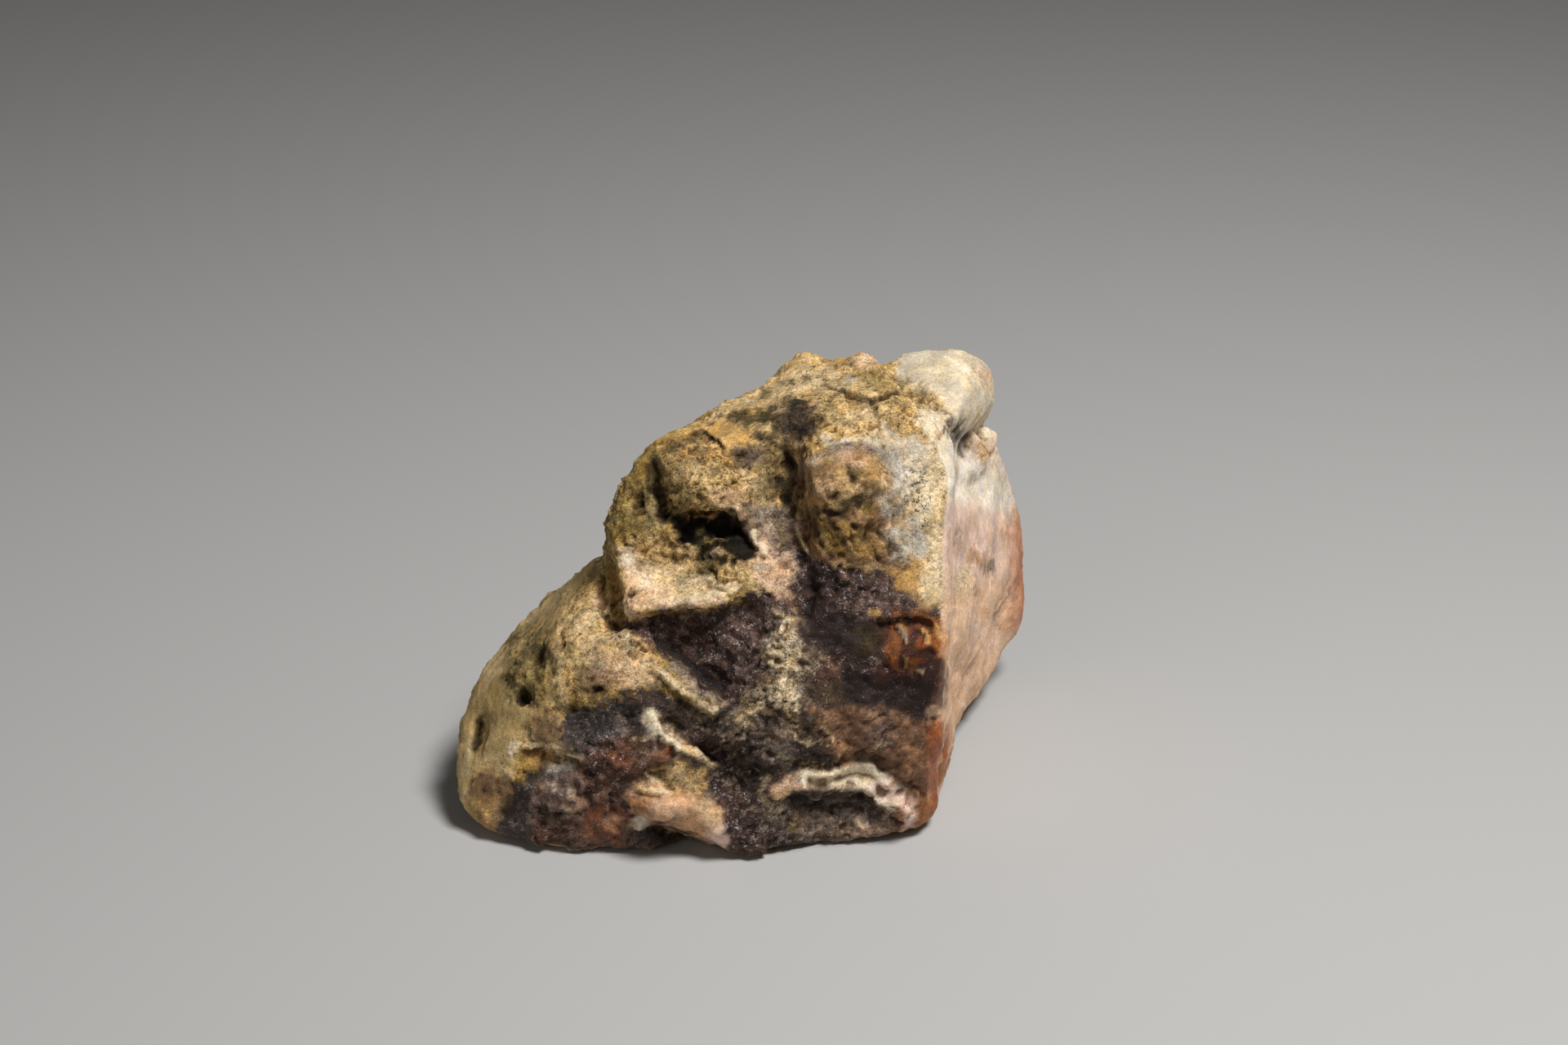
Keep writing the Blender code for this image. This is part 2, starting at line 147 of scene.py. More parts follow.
# %% [markdown]
# ## Strokes
# Water, frost and blows shaped the real stone, each in its own way. Sculpting by hand could follow them, but
# strokes written as numbers can be changed and repeated. There are five kinds: a swell raises or sinks a
# rounded patch, a rub wears a patch smooth, a pit sinks a steep hole, a furrow follows a path, and a ledge
# drops the surface on one side of a path. Each works on all the points at once with numpy, which is quick
# enough for a hundred thousand of them.


# %% How a stroke fades, and how it wanders
def fall(distance):
    """1 at the middle of a stroke, falling smoothly to 0 at distance 1."""
    return np.clip(1.0 - distance**2, 0.0, 1.0) ** 2


def ramp(value, low, high):
    """0 below low, 1 above high and smooth between."""
    share = np.clip((value - low) / (high - low), 0.0, 1.0)
    return share * share * (3.0 - 2.0 * share)


# Any whole number above 0 would do, and each gives other ragged edges. Without one, noise_vector starts
# from the clock, and no two stones would be the same.
WANDER_SEED = 1795486009
noise.seed_set(WANDER_SEED)


def wander(places, wavelength, seed):
    """A small vector at each place, changing over the wavelength."""
    shift = Vector((seed * 11.9, seed * 3.7, seed * 7.3))
    scale = 1.0 / wavelength
    return np.array([noise.noise_vector(Vector(p) * scale + shift) for p in places])


print("half way out, a stroke keeps", round(float(fall(0.5)), 2), "of its strength")

# %% The carver: the points of the mesh, and how to find a place on them
RAGGED_FROM = 1.8  # strokes of this size and larger are fully ragged, in millimetres


class Carver:
    """Holds the points of one mesh for the strokes. Places are found on the stone as it was at the last
    look. Each point is measured from a little beside its true place, so no stroke is round or straight."""

    def __init__(self, obj):
        self.mesh = obj.data
        self.points = np.empty(len(self.mesh.vertices) * 3)
        self.mesh.vertices.foreach_get("co", self.points)
        self.points = self.points.reshape(-1, 3)
        ends = np.empty(len(self.mesh.edges) * 2, np.int32)
        self.mesh.edges.foreach_get("vertices", ends)
        self.ends = ends.reshape(-1, 2)
        self.degree = np.bincount(self.ends.ravel(), minlength=len(self.points))
        self.ragged = 0.9 * wander(self.points, 2.6, 21) + 0.5 * wander(self.points, 0.9, 22)
        self.measure()
        self.look()

    def measure(self):
        """Write the points to the mesh, and read its normals again."""
        self.mesh.vertices.foreach_set("co", self.points.ravel())
        self.mesh.update()
        normals = np.empty(len(self.points) * 3)
        self.mesh.vertex_normals.foreach_get("vector", normals)
        self.normals = normals.reshape(-1, 3)

    def look(self):
        """Take the stone as it is now for finding places on it."""
        seen = bmesh.new()
        seen.from_mesh(self.mesh)
        self.tree = BVHTree.FromBMesh(seen)
        seen.free()

    def spread(self, values, passes):
        """Each point's value averaged with its neighbours', some times over."""
        first, second = self.ends.T
        for _ in range(passes):
            total = np.zeros_like(values)
            for column in range(values.shape[1]):
                total[:, column] = np.bincount(first, values[second, column], len(values))
                total[:, column] += np.bincount(second, values[first, column], len(values))
            values = 0.5 * values + 0.5 * total / self.degree[:, None]
        return values

    def spot(self, place):
        """A place on the board, or a point in space, as a point of the stone and the normal there."""
        if len(place) == 3:
            hit, normal, _, _ = self.tree.find_nearest(Vector(place))
            return np.array(hit), np.array(normal)
        across, up = place
        on_board = BOARD_MIDDLE + Vector((across - MIDDLE_ACROSS, 0, 0)) + (up - MIDDLE_UP) * BOARD_UP
        hit, normal, _, _ = self.tree.ray_cast(EYE, (on_board - EYE).normalized())
        if hit is None:
            hit, normal, _, _ = self.tree.find_nearest(on_board)
        return np.array(hit), np.array(normal)

    def beside(self, size):
        """The ragged places for a stroke of this size. Small strokes are less ragged."""
        return self.points + min(1.0, size / RAGGED_FROM) * self.ragged


carver = Carver(stone)
carver.points = carver.spread(carver.points, 2)
carver.measure()
carver.look()
print("carver holds", len(carver.points), "points")


# %% Round strokes: swell, rub and pit
def swell(place, radius, height, stretch=(1.0, 1.0, 1.0)):
    """Raise a rounded lump, or sink a bowl where height is negative."""
    centre, normal = carver.spot(place)
    apart = carver.beside(radius) - centre
    away = np.linalg.norm(apart / (radius * np.array(stretch)), axis=1)
    carver.points += np.outer(height * fall(away), normal)


def rub(place, radius, passes):
    """Smooth a rounded patch, as running water would. More passes fill wider hollows."""
    centre, _ = carver.spot(place)
    away = np.linalg.norm(carver.points - centre, axis=1) / radius
    calm = carver.spread(carver.points, passes)
    carver.points += fall(away)[:, None] * (calm - carver.points)


def pit(place, radius, depth):
    """Sink a steep-walled hole."""
    centre, normal = carver.spot(place)
    away = np.linalg.norm(carver.beside(radius) - centre, axis=1) / radius
    carver.points -= np.outer(depth * (1.0 - ramp(away, 0.3, 1.1)), normal)


print("a pit keeps its full depth out to 0.3 of its radius")


# %% Strokes along a path: furrow and ledge
def trace(path, size):
    """For each point: its distance from the path, the side it lies on (positive is the right-hand side
    of the path, seen from outside), and how far along the path it is, from 0 to 1."""
    places = carver.beside(size)
    spots = [carver.spot(place) for place in path]
    knots = np.array([spot for spot, _ in spots])
    lengths = np.linalg.norm(np.diff(knots, axis=0), axis=1)
    run = np.concatenate([[0.0], np.cumsum(lengths)]) / lengths.sum()
    best = np.full(len(places), np.inf)
    side = np.zeros(len(places))
    share = np.zeros(len(places))
    for i, length in enumerate(lengths):
        step = (knots[i + 1] - knots[i]) / length
        outward = spots[i][1] + spots[i + 1][1]
        rightward = np.cross(step, outward / np.linalg.norm(outward))
        along = np.clip((places - knots[i]) @ step, 0.0, length)
        apart = places - (knots[i] + np.outer(along, step))
        distance = np.linalg.norm(apart, axis=1)
        closer = distance < best
        best[closer] = distance[closer]
        side[closer] = (apart @ rightward)[closer]
        share[closer] = (run[i] + along / length * (run[i + 1] - run[i]))[closer]
    return best, side, share


def furrow(path, width, depth):
    """A furrow along the path, or a ridge where depth is negative."""
    distance, _, share = trace(path, 1.3 * width)
    taper = ramp(share, -0.01, 0.2) * (1.0 - ramp(share, 0.8, 1.01))
    carver.points -= carver.normals * (depth * fall(distance / width) * (0.3 + 0.7 * taper))[:, None]


def ledge(path, drop, reach, lip=0.0, edge=0.4):
    """A step along the path: the surface drops on its right-hand side and comes back within reach."""
    distance, side, share = trace(path, 0.5 * reach)
    ends = ramp(share, -0.01, 0.15) * (1.0 - ramp(share, 0.82, 1.01))
    beside = np.abs(side) > 0.6 * distance
    sunk = ramp(side, -0.3 * edge, 0.7 * edge) * fall(np.clip(distance / reach, 0.0, 1.0))
    raised = lip * fall(distance / (1.8 * edge)) * (side < 0.5 * edge)
    move = (raised - drop * sunk * (beside | (distance < edge))) * ends
    carver.points += carver.normals * move[:, None]


print("strokes on a path fade over about a fifth of its length at each end")

# %% [markdown]
# ## Worn places
# Some places are smoother than the plain solid shows them: the gap beside the slab on top, the nose, and the
# face around the pale arc low on the right. Water and handling rounded them. A larger smoothing of the whole
# stone would lose its form, so only these patches are rubbed, the gap longest because it is the deepest.

# %% Worn places: place, radius, passes
WORN_PLACES = {
    "gap_beside_slab": ((25.4, 44.8), 4.6, 600),
    "gap_beside_slab_high": ((26.4, 46.2), 3.2, 200),
    "nose_right": ((15.8, 39.4), 4.6, 120),
    "nose_foot": ((11, 35.4), 4.4, 60),
    "nose_top": ((11, 44), 4.0, 40),
    "arc_left": ((5.6, 7.2), 2.6, 90),
    "arc_middle": ((9, 7.4), 2.8, 90),
    "arc_right": ((12.4, 7.4), 2.8, 90),
    "arc_end": ((15.4, 6), 2.6, 90),
    "arc_foot": ((17.2, 4.2), 2.2, 90),
}

for place, radius, passes in WORN_PLACES.values():
    rub(place, radius, passes)
carver.measure()
carver.look()
print(len(WORN_PLACES), "worn places")

# %% [markdown]
# ## Sharp edges of the break
# Chert breaks like thick glass, so its broken face has thin lips with a sudden drop beside them. The broad
# ledges are in the solid already. These strokes put the crisp last half millimetre on them, which a remesh
# always rounds away, and add the smaller steps that fan out over the fracture. Cutting the solid with sharp
# blocks would give crisper edges still, but the skin would lose its even squares.

# %% Ledges: path, drop, reach, lip, edge
SHARP_LEDGES = {
    "shelf_lip": (
        [(-14.2, 25.7), (-12, 26.1), (-9.5, 26.4), (-7, 26.9), (-4.5, 26.9), (-2.5, 27.2), (-0.5, 28),
         (1.5, 28.7)],
        0.8, 2.0, 0.12, 0.4,
    ),
    "flake_under_lip": ([(-8.3, 26.3), (-7.5, 26.2), (-6.8, 25.6), (-6.5, 24.9)], 0.5, 1.3, 0.3, 0.3),
    "strip_upper_edge": (
        [(-2, 16.1), (-4, 17.8), (-6.5, 20), (-9.3, 22.6), (-12.3, 24.3)], 0.8, 2.5, 0.3, 0.4,
    ),
    "cream_ridge": (
        [(-11.5, 20.7), (-8.9, 19.1), (-6.5, 17), (-5, 15.9), (-2.7, 15.3)], 0.6, 2.2, 0.35, 0.4,
    ),
    "white_crest": (
        [(-3.8, 9.5), (-5.5, 10.6), (-7.3, 11.3), (-8.5, 12.3), (-9.6, 13.1), (-10.2, 14.1), (-10.8, 14.9)],
        1.0, 2.4, 0.6, 0.5,
    ),
    "scallop_rim": (
        [(-25.6, 10.6), (-24.6, 11.4), (-23, 11.8), (-21.2, 11.3), (-20.2, 10.4), (-18.5, 10.3)],
        0.6, 2, 0.3, 0.35,
    ),
    "cream_arc": (
        [(3.2, 5.8), (5, 6.6), (8, 6.8), (11.3, 6.9), (13.2, 7), (14.6, 6.1), (15.6, 5.2), (16.8, 4.6),
         (17.4, 3.6), (17.2, 2)],
        0.6, 2.0, 0.0, 0.5,
    ),
    "chipped_edge": (
        [(14, 25.5), (15.5, 26), (17, 25.9), (18.5, 26), (20, 25.6), (21.2, 24.6)], 0.6, 2, 0.25, 0.3,
    ),
    "plate_edge": (
        [(-4.7, 46.5), (-4, 45.8), (-3.3, 45.4), (-2.5, 44.8), (-1, 44.7), (0.4, 44.9)],
        0.5, 1.6, 0.15, 0.3,
    ),
    "hackle_long": ([(1.2, 19.4), (-1.5, 20.4), (-4, 21), (-6.5, 22.3), (-9, 23.5)], 0.4, 2.4, 0.1, 0.4),
    "hackle_upper": ([(2.4, 25), (-0.6, 24.4), (-3.4, 25.4)], 0.35, 1.8, 0.1, 0.4),
    "hackle_middle": ([(-4, 23.2), (-6.4, 24.4), (-9.6, 25)], 0.35, 1.6, 0.1, 0.4),
    "hackle_low": ([(-0.6, 17.8), (-3, 18.6), (-5.4, 20.6)], 0.4, 1.6, 0.1, 0.4),
    "face_hackle": ([(9, 15.6), (12.6, 14.8), (16, 15.2)], 0.3, 1.8, 0.1, 0.4),
    "face_hackle_low": ([(10.6, 12.4), (13, 11.4), (16.4, 11.8)], 0.25, 1.6, 0.1, 0.4),
    "plum_hackle": ([(9, 29.4), (12.4, 28.6), (16, 28.8)], 0.35, 1.8, 0.1, 0.4),
    "hackle_short": ([(0.8, 22), (-1.2, 22.8), (-3.5, 24.3)], 0.3, 1.8, 0.2, 0.4),
    "vein_left_edge": ([(4.3, 25.7), (2.9, 23.8), (1.4, 21.7), (0.8, 20.3)], 0.45, 1.8, 0.3, 0.35),
    "fold_low": ([(-8.8, 6.4), (-10, 7.6), (-11.3, 8.6)], 0.5, 1.8, 0.25, 0.4),
    "fold_cream": ([(-12.7, 7.3), (-11.5, 6.6), (-9.3, 6.3)], 0.5, 1.6, 0.25, 0.35),
    "tooth_edge": ([(0.2, 36.4), (-0.2, 35.4), (0.6, 34.2), (1.6, 33)], 0.7, 1.5, 0.2, 0.35),
    "thin_ridge": ([(5.4, 36.2), (5.7, 34.9), (6.2, 33.8), (7, 32.3)], 0.5, 1.5, 0.35, 0.3),
    "glassy_upper_edge": ([(20.9, 20.8), (18.5, 19.6), (16, 19.7), (13.5, 20.1)], 0.35, 2.2, 0.0, 0.4),
    "block_foot": ([(-16, 31.5), (-15.8, 29), (-15.7, 26.8), (-14.9, 25.2)], 0.6, 1.8, 0.2, 0.4),
}

for path, drop, reach, lip, edge in SHARP_LEDGES.values():
    ledge(path, drop, reach, lip, edge)
carver.measure()
carver.look()
print(len(SHARP_LEDGES), "ledges cut")

# %% [markdown]
# ## Chips on the corner
# Where the corner is thin, small flakes have popped off and left cupped scars with bright rims. Each could
# be cut with a tilted ball. A short curved ledge with a shallow bowl beside it does the same and stays part
# of the skin.

# %% Flake scars: path of the rim, bowl place, bowl radius
FLAKE_SCARS = {
    "tall_flake": ([(16.7, 25.2), (17.4, 24.2), (17.8, 22.6)], (17.1, 23.9), 1.2),
    "left_flake": ([(15.4, 22.2), (15.8, 21.2), (15.9, 20.2)], (15.2, 21.2), 0.8),
    "middle_flake": ([(17.2, 22), (17.7, 21.1), (17.6, 20.3)], (17, 21), 0.7),
    "low_flake": ([(18.6, 20.2), (19.3, 19.8), (19.5, 19.2)], (18.9, 19.6), 0.6),
    "edge_flake_high": ([(19.2, 24.9), (19.9, 24), (20, 22.8)], (19.2, 23.8), 0.9),
    "edge_flake_low": ([(20.2, 23), (20.9, 22.2), (21.1, 21.4)], (20.2, 22.1), 0.7),
}

FLAKE_LEDGE = {"drop": 0.4, "reach": 1.4, "lip": 0.3, "edge": 0.3}
FLAKE_BOWL_DEPTH = 0.15

for rim, bowl, radius in FLAKE_SCARS.values():
    ledge(rim, **FLAKE_LEDGE)
    swell(bowl, radius, -FLAKE_BOWL_DEPTH)
carver.measure()
print(len(FLAKE_SCARS), "flake scars")

# %% [markdown]
# ## Furrows, cracks and flutes
# Water has eaten along weak lines in the rind, and left grooves on the knob, flutes under the nose and a
# crumbly crack on top. A bump map could darken such lines, but it leaves the outline smooth, so they are
# carved. A furrow of negative depth is a ridge, such as the pale arc's.

# %% Furrows: path, width, depth
FURROWS = {
    "knob_groove": ([(-10.6, 43), (-10.3, 40.8), (-9.7, 38.8), (-9.4, 36.6)], 0.8, 0.9),
    "knob_outer_groove": ([(-12.4, 40), (-12, 38.6), (-11.7, 37.4)], 0.8, 0.7),
    "knob_slot": ([(-11.4, 42.6), (-11.2, 41.3), (-11, 40)], 0.5, 0.5),
    "plate_crack": ([(-4.8, 46.6), (-4, 45.9), (-3.4, 45.5), (-3, 45.1), (-2.4, 44.7)], 0.3, 0.7),
    "cavity_slot": ([(-1.9, 37.6), (-1.5, 36.4), (-1.2, 35.2)], 0.6, 1.2),
    "valley_crack": ([(4.2, 44.6), (4.5, 42.6), (4.9, 41.2), (4.3, 39.6), (5, 37.8)], 0.9, 0.8),
    "nose_crack": ([(10.8, 42.8), (11.4, 41.8), (11.8, 40.9)], 0.6, 0.6),
    "nose_low_crack": ([(8.6, 37.9), (9.8, 37.5), (11.2, 37.9)], 0.5, 0.5),
    "nose_side_crack": ([(6.6, 42), (6.9, 40.4), (6.5, 39)], 0.6, 0.5),
    "top_crack": (
        [(10.4, 51.4), (11.6, 50.6), (12.6, 50.2), (13.6, 49.9), (14.6, 50.3), (16.6, 50.9)], 0.5, 0.9,
    ),
    "top_crack_branch": ([(13.4, 50), (14, 49.4), (14.4, 48.9)], 0.4, 0.5),
    "top_crack_left": ([(8.6, 51.8), (9.8, 51.2), (10.6, 51.3)], 0.5, 0.5),
    "slab_gap": ([(22.6, 46), (23.2, 46.8), (23.9, 47.7)], 0.6, 0.8),
    "shelf_groove": ([(-4.6, 31.6), (-3.4, 30.2), (-2.2, 29.4)], 0.6, 0.5),
    "dark_valley": ([(6.8, 31.8), (7.2, 29.4), (6.6, 27), (6.2, 25.2)], 1.3, 0.6),
    "crumb_crevice": ([(-15.8, 25.8), (-14.4, 24.6), (-12.6, 24.3)], 0.7, 1.0),
    "flank_slot": ([(-29.8, 14.8), (-30.2, 13), (-30.3, 11)], 0.8, 0.8),
    "glint_band_low": ([(12.4, 18.8), (14.6, 17.6), (17, 17.2)], 0.8, 0.2),
    "under_arc_dark": ([(4.6, 5), (7, 4.8), (9.4, 5), (11.6, 4.9), (13.4, 4.5)], 1.0, 0.5),
    "above_arc": (
        [(3, 8.6), (5.6, 9.0), (8, 9.2), (11.5, 9.5), (13.6, 9.9), (15.6, 8.5), (17.4, 7.3), (19.2, 5.8)],
        2.0, 1.2,
    ),
    "arc_ridge": (
        [(3.2, 6.4), (5, 7.1), (8, 7.3), (11.3, 7.5), (13.2, 7.7), (14.6, 6.8), (15.8, 5.9), (17, 5.2),
         (17.7, 4.2), (17.8, 3)],
        1.4, -1.6,
    ),
    "dark_under_lobe": ([(-11, 2.4), (-8, 1.6), (-5, 0.9)], 0.9, 0.7),
}

for path, width, depth in FURROWS.values():
    furrow(path, width, depth)
carver.measure()
print(len(FURROWS), "furrows")

# %% Flutes under the nose, one beside the other
FLUTES = 7
FLUTE_STEP = 1.35
FLUTE_WIDTH = 0.8
flutes = np.random.default_rng(3)
for i in range(FLUTES):
    top = (6.3 + FLUTE_STEP * i + float(flutes.uniform(-0.4, 0.4)), 37.2 + float(flutes.uniform(-1.4, 0.3)))
    foot = (top[0] + 1.6 + float(flutes.uniform(-0.4, 0.5)), 32.4 + float(flutes.uniform(-1.2, 1.2)))
    middle = (0.55 * top[0] + 0.45 * foot[0] - 0.3, 0.5 * (top[1] + foot[1]))
    furrow([top, middle, foot], FLUTE_WIDTH, float(flutes.uniform(0.2, 0.5)))
carver.measure()
print(FLUTES, "flutes")

# %% [markdown]
# ## Pits and little lumps
# Pits are where a fossil or a soft grain fell out. Lumps are knots of harder silica that weather proud of
# the rest. A few lumps of negative height widen the cavity, and a few fills make shallow places full.

# %% Pits: place, radius, depth
PITS = {
    "rind_pit": ((-16.7, 17.6), 0.7, 0.9),
    "flank_hole": ((-24.9, 17.1), 1.0, 1.3),
    "flank_hollow": ((-23.3, 21.6), 1.2, 0.7),
    "flank_hollow_high": ((-22.9, 22.9), 0.8, 0.6),
    "shelf_pit": ((-12.9, 28.7), 0.5, 0.6),
    "knob_pit": ((-6.2, 44.6), 0.6, 0.5),
    "knob_pit_low": ((-4.2, 43.3), 0.5, 0.4),
    "patch_pit": ((1.4, 45.8), 0.5, 0.6),
    "valley_pit": ((3.4, 41.2), 0.6, 0.9),
    "valley_pit_high": ((4.1, 42.8), 0.6, 0.7),
    "valley_pit_low": ((4, 39.1), 0.6, 0.9),
    "nose_hole": ((12.2, 39), 0.8, 0.6),
    "nose_hole_low": ((10.4, 36.9), 0.6, 0.6),
    "shoulder_nick": ((15.2, 44.9), 0.4, 0.4),
    "speckle_hole": ((19.2, 40.2), 0.4, 0.5),
    "brown_spot": ((-8.7, 11.2), 0.5, 0.4),
    "vein_hole": ((4.2, 24.9), 0.4, 0.6),
    "vein_hole_low": ((3.2, 21.2), 0.5, 0.6),
    "corner_notch": ((20.8, 14.4), 0.9, 0.6),
    "veined_pit": ((0.5, 8.6), 0.7, 0.7),
    "veined_pit_left": ((-1.6, 10.3), 0.6, 0.6),
    "veined_pit_right": ((2.4, 10.6), 0.5, 0.5),
}

for place, radius, depth in PITS.values():
    pit(place, radius, depth)
print(len(PITS), "pits")

# %% Lumps: place, radius, height, and for a long lump its stretch
LUMPS = {
    "pink_nub": ((-12.2, 2.9), 1.1, 0.8),
    "bright_nub": ((14.2, 26.4), 0.6, 0.4),
    "nose_chip": ((14, 41.3), 1.1, 0.6),
    "nose_boss": ((9, 40.3), 1.6, 0.5),
    "nose_right": ((14.6, 37.6), 2.4, 0.7),
    "nose_low_right": ((15.6, 34.6), 2.4, 0.6),
    "nose_boss_low": ((8, 38.6), 1.0, 0.35),
    "cavity_crumb": ((-5.3, 35.9), 0.7, 0.7),
    "cavity_crumb_low": ((-3.2, 34.2), 0.9, 0.8),
    "cavity_crumb_foot": ((-4, 33), 1.0, 0.7),
    "mauve_bump": ((-21.6, 6.6), 0.9, 0.45),
    "mauve_bump_right": ((-19.8, 5.8), 0.8, 0.45),
    "mauve_bump_low": ((-20.8, 4.6), 0.8, 0.4),
    "brown_lump": ((-10, 10.6), 1.3, 0.4),
    "lump_under_arc": ((9.2, 3.4), 1.2, 0.4),
    "lump_under_arc_right": ((12.6, 2.9), 1.1, 0.4),
    "lump_under_arc_left": ((5.4, 3.2), 1.3, 0.4),
    "plum_nub": ((20.9, 18.2), 0.7, 0.3),
    "cavity_left": ((-6.6, 35.4), 2.2, -1.6),
    "cavity_middle": ((-3.6, 35.8), 2.2, -1.8),
    "cavity_right": ((-0.8, 35.6), 1.5, -1.2),
    "cavity_spur": ((-4.6, 34.2), 0.9, 0.9),
    "tooth": ((0.7, 35), 1.1, 0.8),
    "tooth_root": ((1.6, 33.4), 1.0, 0.5),
    "nose_right_fill": ((16.4, 39.6), 2.6, 0.9),
    "nose_foot_fill": ((11.4, 36.4), 3.0, 0.8),
    "nose_left_fill": ((6.2, 38.4), 1.6, 0.5),
    "slab_hollow_fill": ((24.8, 45.4), 2.6, 1.3),
    "slab_hollow_fill_right": ((26.3, 45.8), 2.6, 1.6),
    "slab_hollow_fill_low": ((25.8, 43.8), 2.2, 0.8),
    "crest_head": ((-10.1, 13.9), 1.6, 0.6),
    "crest_shoulder": ((-8.6, 12.8), 1.5, 0.4),
    "crest_foot": ((-6.6, 11.4), 1.0, 0.2),
    "arc_crown": ((13.4, 7.6), 1.6, 0.5),
    "peach_lobe": ((-8, 5), 2.6, 0.7, (1.6, 1.0, 0.7)),
    "peach_lobe_foot": ((-3, 2.2), 2.0, 0.5),
    "red_bump": ((-15.4, 10), 1.6, 0.5),
    "red_bump_low": ((-17.4, 7.6), 1.5, 0.45),
    "red_bump_right": ((-12.6, 9.4), 1.4, 0.4),
    "gold_bump": ((-23.8, 9.8), 1.6, 0.4),
    "brick_bump": ((-16, 2.8), 1.4, 0.45),
    "plum_low_bump": ((-25.2, 4.6), 1.5, 0.4),
}

for place, radius, height, *stretch in LUMPS.values():
    swell(place, radius, height, *stretch)
carver.measure()
carver.look()
print(len(LUMPS), "lumps")

# %% [markdown]
# ## Crumbs
# In the vein, in the crevice under the ledge and inside the cavity, the silica is a loose crumbly crust.
# Nobody could place every crumb by hand. It is a scatter of small lumps and holes inside drawn areas, with a
# fixed seed, so that the stone is the same each time.

# %% Crumbs: corners of the area, how many, radius, height
CRUMBS = {
    "vein_top": ([(2.6, 25.2), (5.2, 25.8), (7.8, 21.5), (5.4, 19.5), (2, 20.5)], 60, 0.55, 0.42),
    "vein_foot": ([(1, 18.5), (5.6, 18.8), (5.4, 14), (3, 13.6), (-1, 14.5)], 50, 0.55, 0.35),
    "crevice": ([(-15.4, 24.6), (-12, 24), (-10.4, 21.6), (-13.6, 21)], 40, 0.5, 0.45),
    "cavity_floor": ([(-6.4, 33.4), (-2.6, 34.6), (-0.8, 32), (-3.4, 30.4), (-6, 31)], 50, 0.5, 0.42),
    "top": ([(8, 49.4), (11, 51.4), (16, 51.4), (20, 50), (19, 46.8), (9, 46.8)], 90, 0.5, 0.22),
    "knob": ([(-9, 45), (-4.4, 46), (-1, 42.4), (-2, 38), (-7.6, 37.6)], 90, 0.5, 0.22),
    "dark_mottle": ([(-3.4, 14), (1, 13), (1.6, 7), (-2.6, 8)], 50, 0.6, 0.3),
    "under_arc": ([(3.4, 5.6), (15.6, 4.6), (15, 1.4), (3, 1.2)], 60, 0.6, 0.25),
    "low_left": ([(-24.5, 8.5), (-19, 8), (-14, 4.8), (-19, 1.6), (-25, 3)], 60, 0.7, 0.25),
    "lobe_rind": ([(-24, 24), (-18, 28), (-13, 20), (-18, 17), (-23.6, 18)], 80, 0.5, 0.25),
    "flutes": ([(6, 37), (16, 37), (17, 32.4), (7, 31.6)], 70, 0.5, 0.4),
    "nose": ([(5.8, 42.6), (10, 44.2), (14.6, 43.4), (15.6, 39), (14, 36.6), (7, 37)], 40, 0.7, 0.25),
    "wall_hackles": ([(-12, 25.6), (3, 27.4), (3, 21), (0, 17), (-8, 22)], 90, 0.6, -0.28),
    "right_hackles": ([(8, 31), (19, 29), (20, 26), (14, 25), (9, 22)], 60, 0.6, -0.25),
    "left_mosaic": ([(-20, 12), (-9, 13), (-8, 9), (-14, 4), (-19, 4)], 70, 0.8, 0.34),
    "shelf": ([(-14.6, 33), (-6, 31.6), (-1, 30.6), (-2, 27.6), (-14, 26.6)], 80, 0.5, 0.2),
    "cavity_edge": ([(-8.6, 37.4), (-1, 38.4), (1.4, 36.4), (-1, 34), (-8, 33.6)], 60, 0.7, 0.45),
    "valley": ([(0.6, 39), (4.6, 38), (5.6, 31), (4, 28), (1.6, 31)], 50, 0.5, 0.28),
}
print(sum(count for _, count, _, _ in CRUMBS.values()), "crumbs in", len(CRUMBS), "areas")


# %% Scatter them
def inside(outline, place):
    """True if a place on the board lies inside the outline."""
    across, up = place
    crossings = 0
    for (a, b), (c, d) in zip(outline, outline[1:] + outline[:1]):
        if (b > up) != (d > up) and across < a + (up - b) / (d - b) * (c - a):
            crossings += 1
    return crossings % 2 == 1


CRUMB_KINDS = [1.0, 0.7, -0.8]  # a lump, a lower lump or a hole
crumbs = np.random.default_rng(11)
for outline, count, radius, height in CRUMBS.values():
    low = np.min(outline, axis=0)
    high = np.max(outline, axis=0)
    made = 0
    while made < count:
        place = crumbs.uniform(low, high).tolist()
        if not inside(outline, place):
            continue
        size = radius * crumbs.uniform(0.6, 1.4)
        swell(place, size, height * crumbs.choice(CRUMB_KINDS))
        made += 1
carver.points = carver.spread(carver.points, 1)
carver.measure()
carver.look()
print("highest point at", round(float(carver.points[:, 2].max()), 2), "mm")

# %% [markdown]
# ## Where each mineral lies
# The stone's colours are minerals, and each has its own place. An image wrapped round it would need an
# unwrapped skin and shows seams. Here the colours are painted on the points of the mesh, so they stay with
# the stone from every side. First each point learns where it falls on the board, and whether the eye sees it
# at all. The eye's side is painted patch by patch, the rest with broad coats of the same minerals.

